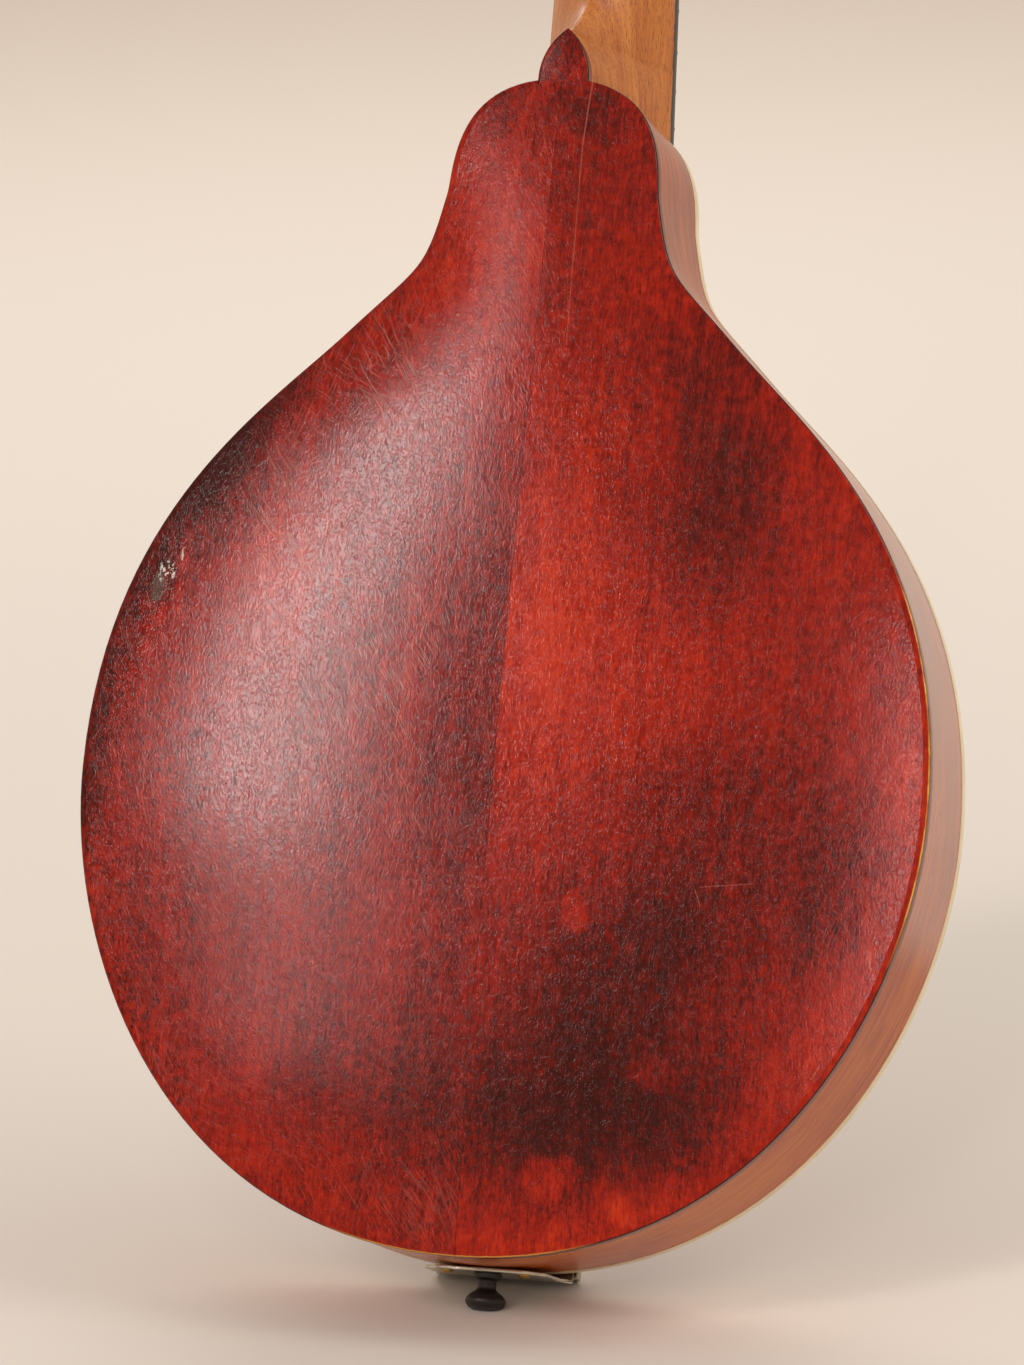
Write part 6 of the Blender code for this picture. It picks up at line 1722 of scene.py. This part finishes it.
@dataclass
class Tuners:
    """Two rows of four worm tuners with their plates, screws and bushings."""

    neck: NeckForm
    finishes: dict[str, Material]
    plate: float = 1.2 * MM
    gap: float = 0.3 * MM
    worm_height: float = 3.6 * MM
    module: float = 0.75 * MM
    teeth: int = 14
    pitch_radius: float = 2.5 * MM
    post_radius: float = 3.0 * MM
    waist: float = 2.3 * MM
    screws: tuple[float, ...] = (20.2, 42.8, 65.8, 88.8, 110.0)

    @property
    def axis_out(self) -> float:
        """Height of the worms' axes over the headstock's back."""
        return self.gap + self.plate + self.worm_height

    @property
    def gear_distance(self) -> float:
        """Distance between a post's axis and its worm's axis."""
        return self.module * self.teeth / 2 + self.pitch_radius

    def build(self) -> None:
        """Model and dress both rows."""
        nickel = self.finishes["nickel"]
        template = self.screw_template()
        for side in Side:
            plate = refined_copy("tuner_plate_" + side.name, "tuner_base_" + side.name, 0.3 * MM)
            dress(plate, nickel, stands_for=("tuner_plate_" + side.name,))
            screws = []
            for i, along in enumerate(self.screws):
                place = self.neck.tuner_frame(side.value, along * MM, self.gap + self.plate)
                screws.append(placed_copy(template, f"screw_{side.name}_{i}",
                                          place @ Matrix.Rotation(0.9 * i + side.value, 4, "Z")))
            row = join(screws, "plate_screws_" + side.name)
            dress(row, nickel)
            bushings = [self.bushing(side, index) for index in range(4)]
            ring = join(bushings, "post_bushings_" + side.name)
            smooth(ring, 40.0)
            dress(ring, nickel)
            for index in range(4):
                self.tuner(side, index)
        bpy.data.objects.remove(template, do_unlink=True)

    def screw_template(self) -> Piece:
        """Return one domed screw head with its slot, at the origin."""
        dome = screw_profile(0.0, 0.25 * MM, 0.75 * MM, 1.75 * MM, np.linspace(0.15, 1.45, 7))
        screw = lathe("screw_template", dome, Matrix.Identity(4), 28)
        deselect_all()
        bpy.ops.mesh.primitive_cube_add(size=1.0, location=(0, 0, 0.95 * MM),
                                        scale=(5 * MM, 0.42 * MM, 0.8 * MM))
        cut(screw, bpy.context.object)
        smooth(screw, 35.0)
        return screw

    def bushing(self, side: Side, index: int) -> Piece:
        """Return the flanged ring round a post on the headstock's face."""
        place = self.neck.tuner_frame(side.value, self.neck.post_along(index), 0.0)
        face = -(self.neck.head_thickness + self.gap + self.neck.veneer)
        section = ((0.0, 3.2), (0.0, 4.9), (-0.25, 4.9), (-0.6, 4.3), (-0.7, 3.5), (-0.55, 3.2))
        angles = np.arange(36) * math.tau / 36
        rings = []
        for rise, size in section:
            rings.append([tuple(place @ Vector((size * MM * math.cos(a), size * MM * math.sin(a),
                                                face + rise * MM))) for a in angles])
        return loft(f"bushing_{side.name}_{index}", np.array(rings), band=True)

    def tuner(self, side: Side, index: int) -> None:
        """Model one tuner: its button, worm, gear and post."""
        label = f"{side.name}_{index + 1}"
        along = self.neck.post_along(index)
        worm_place = self.neck.tuner_frame(side.value, along - self.gear_distance, self.axis_out)
        post = lathe("post_" + label, self.post_profile(), self.neck.tuner_frame(side.value, along, 0.0), 28)
        smooth(post, 35.0)
        dress(post, self.finishes["nickel"], "post_" + label, ("string_post_" + label,))
        gear = refined_copy("tuner_gear_" + label, "gear_" + label, 0.1 * MM, 2)
        dress(gear, self.finishes["brass"], "post_" + label, ("tuner_gear_" + label,))
        worm = self.worm(side, "worm_" + label, worm_place)
        dress(worm, self.finishes["steel"], "button_" + label, ("worm_shaft_" + label,))
        button = self.button(side, "button_" + label, worm_place)
        dress(button, self.finishes["celluloid"], "button_" + label, ("tuner_button_" + label,))

    def post_profile(self) -> list[tuple[float, float]]:
        """Return a post's (distance, radius) stations, its crown rounded and its waist hollowed."""
        face = self.neck.head_thickness + self.gap + self.neck.veneer
        wrap, head = face + 6.3 * MM, face + 12.5 * MM
        low, high = self.axis_out - 1.3 * MM, self.axis_out + 1.3 * MM
        r = self.post_radius
        crown = [(-head + 1.2 * MM * (1 - math.sin(a)), r - 1.2 * MM * (1 - math.cos(a)) * 1.4)
                 for a in np.linspace(math.pi / 2, 0.0, 6)]
        waist = [(-wrap + (t - 0.45) * 4.0 * MM, self.waist + (r - self.waist) * abs(2 * t - 1) ** 3)
                 for t in np.linspace(0, 1, 11)]
        return crown + waist + [(low - self.gap, r), (low - self.gap + 0.01 * MM, 2.0 * MM),
                                (high + 0.35 * MM, 2.0 * MM), (high + 0.6 * MM, 1.7 * MM)]

    def worm(self, side: Side, name: str, place: Matrix) -> Piece:
        """Return a worm shaft with its thread cut to the hand of its side."""
        lead, sides, turns = math.pi * self.module, 24, 2
        half = turns * lead / 2
        shoulder = 5.5 * MM - self.plate / 2 - self.gap
        stations = [(-5.5 * MM - self.plate, None, 1.5 * MM), (-shoulder, None, 1.5 * MM),
                    (-shoulder + 0.01 * MM, None, 2.1 * MM), (-half - 0.3 * MM, None, 2.1 * MM)]
        stations += [(-half + lead * k / sides, k, 0.0) for k in range(turns * sides + 1)]
        stations += [(half + 0.3 * MM, None, 2.1 * MM), (shoulder - 0.01 * MM, None, 2.1 * MM),
                     (shoulder, None, 1.5 * MM), (18.4 * MM, None, 1.5 * MM)]
        rings = []
        for distance, turn, radius in stations:
            ring = []
            for i in range(sides):
                angle = math.tau * i / sides
                size = radius
                if turn is not None:
                    fade = min(1.0, 0.5 + turn / sides, 0.5 + (turns * sides - turn) / sides)
                    phase = ((turn - i) / sides - turns / 2) % 1.0
                    crest = max(0.0, 1 - max(0.0, min(phase, 1 - phase) - 0.06) / 0.18)
                    size = 1.85 * MM + 1.15 * MM * crest * fade
                ring.append(tuple(place @ Vector((size * math.cos(angle), side.value * distance,
                                                  size * math.sin(angle)))))
            rings.append(ring)
        worm = loft(name, np.array(rings))
        smooth(worm, 40.0)
        return worm

    def button(self, side: Side, name: str, place: Matrix) -> Piece:
        """Return a tuner button: a flattened oval that swells from a short neck."""
        profile = smooth_line(((0.0, 2.6), (1.5, 3.0), (3.75, 5.46), (6.9, 6.5), (10.0, 5.72), (11.9, 3.5),
                               (12.45, 1.2)), 4)
        thick = smooth_line(((0.0, 2.6), (1.5, 2.8), (3.75, 3.2), (6.9, 3.4), (10.0, 2.9), (11.9, 1.8),
                             (12.45, 0.7)), 4)
        rings = []
        for (distance, wide), (_, deep) in zip(profile, thick):
            rings.append([tuple(place @ Vector((wide * MM * math.cos(a), side.value * (12.5 + distance) * MM,
                                                deep * MM * math.sin(a))))
                          for a in np.arange(32) * math.tau / 32])
        end = place @ Vector((0, side.value * 24.99 * MM, 0))
        start = place @ Vector((0, side.value * 12.5 * MM, 0))
        button = loft(name, np.array(rings), start, end)
        smooth(button, 50.0)
        return button


def placed_copy(template: Piece, name: str, place: Matrix) -> Piece:
    """Return a copy of a template whose mesh is moved by a matrix."""
    piece = template.copy()
    piece.data = template.data.copy()
    piece.name = name
    bpy.context.scene.collection.objects.link(piece)
    piece.data.transform(place)
    return piece


# Bridge, tailpiece and end pin


@dataclass
class Fittings:
    """The bridge, the tailpiece with its cover and screws, and the end pin."""

    finishes: dict[str, Material]
    pin_place: float
    flange_screw_places: tuple[float, ...] = (-11.5 * MM, 11.5 * MM)

    def build(self) -> None:
        """Model and dress the fittings."""
        for node, name, width, finish, slot in (
                ("bridge_base", "bridge_foot", 0.7 * MM, "ebony", "black_wood"),
                ("bridge_saddle", "bridge_top", 0.3 * MM, "ebony", "black_wood"),
                ("tailpiece", "tailpiece_plate", 0.22 * MM, "nickel", "nickel")):
            piece = refined_copy(node, name, width)
            dress(piece, self.finishes[finish], stands_for=(node,))
        self.flange_screws()
        cover = refined_copy("tailpiece_cover", "cover_shell", 0.3 * MM)
        dress(cover, self.finishes["nickel"], "cover", ("tailpiece_cover",))
        self.end_pin()

    def flange_screws(self) -> None:
        """Drive two domed screws through the tailpiece's flange beside the end pin."""
        screws = []
        dome = screw_profile(-0.5 * MM, 0.1 * MM, 1.1 * MM, 1.9 * MM, np.linspace(0.1, 1.4, 8))
        turn = Matrix.Rotation(math.pi, 4, "X")
        for x in self.flange_screw_places:
            place = Matrix.Translation((x, self.pin_place + 3.0 * MM, -1.02 * MM)) @ turn
            screws.append(lathe(f"flange_screw_{x:.3f}", dome, place, 28))
        pair = join(screws, "flange_screws")
        smooth(pair, 40.0)
        dress(pair, self.finishes["brass"])

    def end_pin(self) -> None:
        """Turn the end pin: a knob with a flat face, a waist, a collar and a shank."""
        knob = smooth_line(((-12.0, 3.4), (-11.1, 5.0), (-9.4, 5.9), (-7.6, 4.9), (-6.0, 2.9), (-4.6, 2.75),
                            (-3.5, 2.8), (-2.8, 4.0), (-2.2, 4.2)), 5)
        profile = [(distance * MM, min(radius, 5.9) * MM) for distance, radius in knob]
        profile += [(-1.6 * MM, 4.2 * MM), (-1.59 * MM, 3.4 * MM), (15.0 * MM, 2.9 * MM)]
        pin = lathe("turned_end_pin", profile, Matrix.Translation((0, self.pin_place, 0)), 40)
        smooth(pin, 50.0)
        dress(pin, self.finishes["ebony"], stands_for=("end_pin",))


# Stage, light and camera


@dataclass(frozen=True)
class Softbox:
    """A soft rectangular light, turned towards the body.

    Its azimuth is in degrees from the back's facing towards the treble side, its elevation in degrees up
    the instrument, its distance and size in metres, and its roll in degrees about its own beam.
    """

    name: str
    azimuth: float
    elevation: float
    distance: float
    size: tuple[float, float]
    watts: float
    colour: tuple[float, float, float] = (1.0, 0.98, 0.97)
    roll: float = 0.0

    def hang(self, target: Vector) -> None:
        """Place the light round a target."""
        lamp = bpy.data.lights.new(self.name, "AREA")
        lamp.shape = "RECTANGLE"
        lamp.size, lamp.size_y = self.size
        lamp.energy = self.watts
        lamp.color = self.colour
        holder = bpy.data.objects.new(self.name, lamp)
        bpy.context.scene.collection.objects.link(holder)
        turn, rise = math.radians(self.azimuth), math.radians(self.elevation)
        way = Vector((math.sin(turn) * math.cos(rise), math.cos(turn) * math.cos(rise), math.sin(rise)))
        facing = way.to_track_quat("Z", "Y").to_matrix() @ Matrix.Rotation(math.radians(self.roll), 3, "Z")
        holder.matrix_world = Matrix.Translation(target + way * self.distance) @ facing.to_4x4()


@dataclass
class Stage:
    """A pale floor, tilted as the instrument leans, and soft studio light."""

    lean: float = math.radians(25.0)
    drop: float = -15.2 * MM
    floor_colour: str = "#DFD2C4"
    backdrop_colour: str = "#D2BEAC"
    world_strength: float = 0.5
    target: tuple[float, float, float] = (0, 0, 0.17)
    lights: tuple[Softbox, ...] = (
        Softbox("window_softbox", 24.7, 11.3, 2.6, (0.33, 0.59), 12.6, roll=-13.0),
        Softbox("curtain_softbox", 23.2, 9.0, 2.7, (0.36, 1.2), 8.4),
        Softbox("strip_softbox", -5.8, 5.0, 2.6, (0.17, 0.92), 5.6),
        Softbox("side_softbox", -75.0, 38.0, 2.4, (1.4, 1.4), 18.0, (1.0, 0.96, 0.92)),
        Softbox("front_softbox", 152.0, 54.0, 2.6, (1.8, 1.8), 30.0, (1.0, 0.98, 0.96)),
    )

    def build(self) -> None:
        """Lay the floor and set world and lights."""
        self.floor()
        self.world()
        for light in self.lights:
            light.hang(Vector(self.target))

    def floor(self) -> None:
        """Lay a pale floor that fades into the backdrop and can't be seen from underneath."""
        normal = Vector((0, math.sin(self.lean), math.cos(self.lean)))
        deselect_all()
        bpy.ops.mesh.primitive_plane_add(size=14.0, location=normal * self.drop, rotation=(-self.lean, 0, 0))
        floor = bpy.context.object
        floor.name = "studio_floor"
        recipe = Recipe("pale_floor")
        recipe.finish(None, None, None, {"Base Color": hex_linear(self.floor_colour), "Roughness": 0.9,
                                         "Specular IOR Level": 0.1})
        place = recipe.add("TexCoord", take="Object")
        reach = recipe.add("VectorMath", {"operation": "LENGTH"}, {0: place}, take="Value")
        far = recipe.add("MapRange", {**SOFT, 1: 0.9, 2: 2.8}, {0: reach})
        behind = recipe.add("NewGeometry", take="Backfacing")
        behind = recipe.add("Math", {"operation": "MAXIMUM"}, {0: behind, 1: far})
        clear = recipe.add("BsdfTransparent")
        mix = recipe.add("MixShader", None, {0: behind, 1: recipe.shader.outputs[0], 2: clear})
        recipe.tree.links.new(mix, recipe.tree.nodes["Material Output"].inputs["Surface"])
        floor.data.materials.append(recipe.material)

    def world(self) -> None:
        """Light the object evenly, with a pale backdrop for what is seen, mirrored or seen through."""
        world = bpy.data.worlds.new("studio")
        world.use_nodes = True
        sheet = NodeSheet(world.node_tree)
        plain = sheet.tree.nodes["Background"]
        plain.inputs["Color"].default_value = (1.0, 1.0, 1.0, 1.0)
        plain.inputs["Strength"].default_value = self.world_strength
        backdrop = sheet.add("Background", {"Color": hex_linear(self.backdrop_colour)})
        seen = sheet.add("LightPath", take="Is Camera Ray")
        others = [seen.node.outputs[name] for name in ("Is Glossy Ray", "Is Transmission Ray")]
        total = sheet.chained("Math", {"operation": "MAXIMUM"}, seen, *others)
        mix = sheet.add("MixShader", None, {0: total, 1: plain.outputs[0], 2: backdrop})
        sheet.tree.links.new(mix, sheet.tree.nodes["World Output"].inputs["Surface"])
        bpy.context.scene.world = world


@dataclass
class PhotoCamera:
    """The camera fitted to the outline in the photograph."""

    place: tuple[float, float, float] = (-0.5178, 1.8821, -0.1402)
    right: tuple[float, float, float] = (-0.96320, -0.25319, 0.09018)
    up: tuple[float, float, float] = (0.04622, 0.17449, 0.98357)
    lens: float = 179.94

    def build(self) -> None:
        """Set the scene's camera."""
        data = bpy.data.cameras.new("photo_camera")
        data.lens = self.lens
        data.sensor_width = 36.0
        data.clip_end = 100.0
        camera = bpy.data.objects.new("photo_camera", data)
        bpy.context.scene.collection.objects.link(camera)
        right, up = Vector(self.right).normalized(), Vector(self.up).normalized()
        back = right.cross(up)
        turn = Matrix((right, up, back)).transposed().to_4x4()
        camera.matrix_world = Matrix.Translation(self.place) @ turn
        bpy.context.scene.camera = camera


def main() -> None:
    """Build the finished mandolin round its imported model."""
    logging.basicConfig(level=logging.INFO, format="%(name)s: %(message)s")
    body_form = BodyForm()
    neck_form = NeckForm(body_form)
    finishes = Finishes()
    body = Body(body_form, neck_form, finishes.made)
    finishes.build(body.hole_height / MM)
    body.build()
    Neck(neck_form, finishes.made).build()
    Strings(neck_form, finishes.made).build()
    Tuners(neck_form, finishes.made).build()
    Fittings(finishes.made, body.pin_place).build()
    Stage().build()
    PhotoCamera().build()
    bpy.context.scene.view_settings.view_transform = "Standard"


if __name__ == "__main__":
    main()
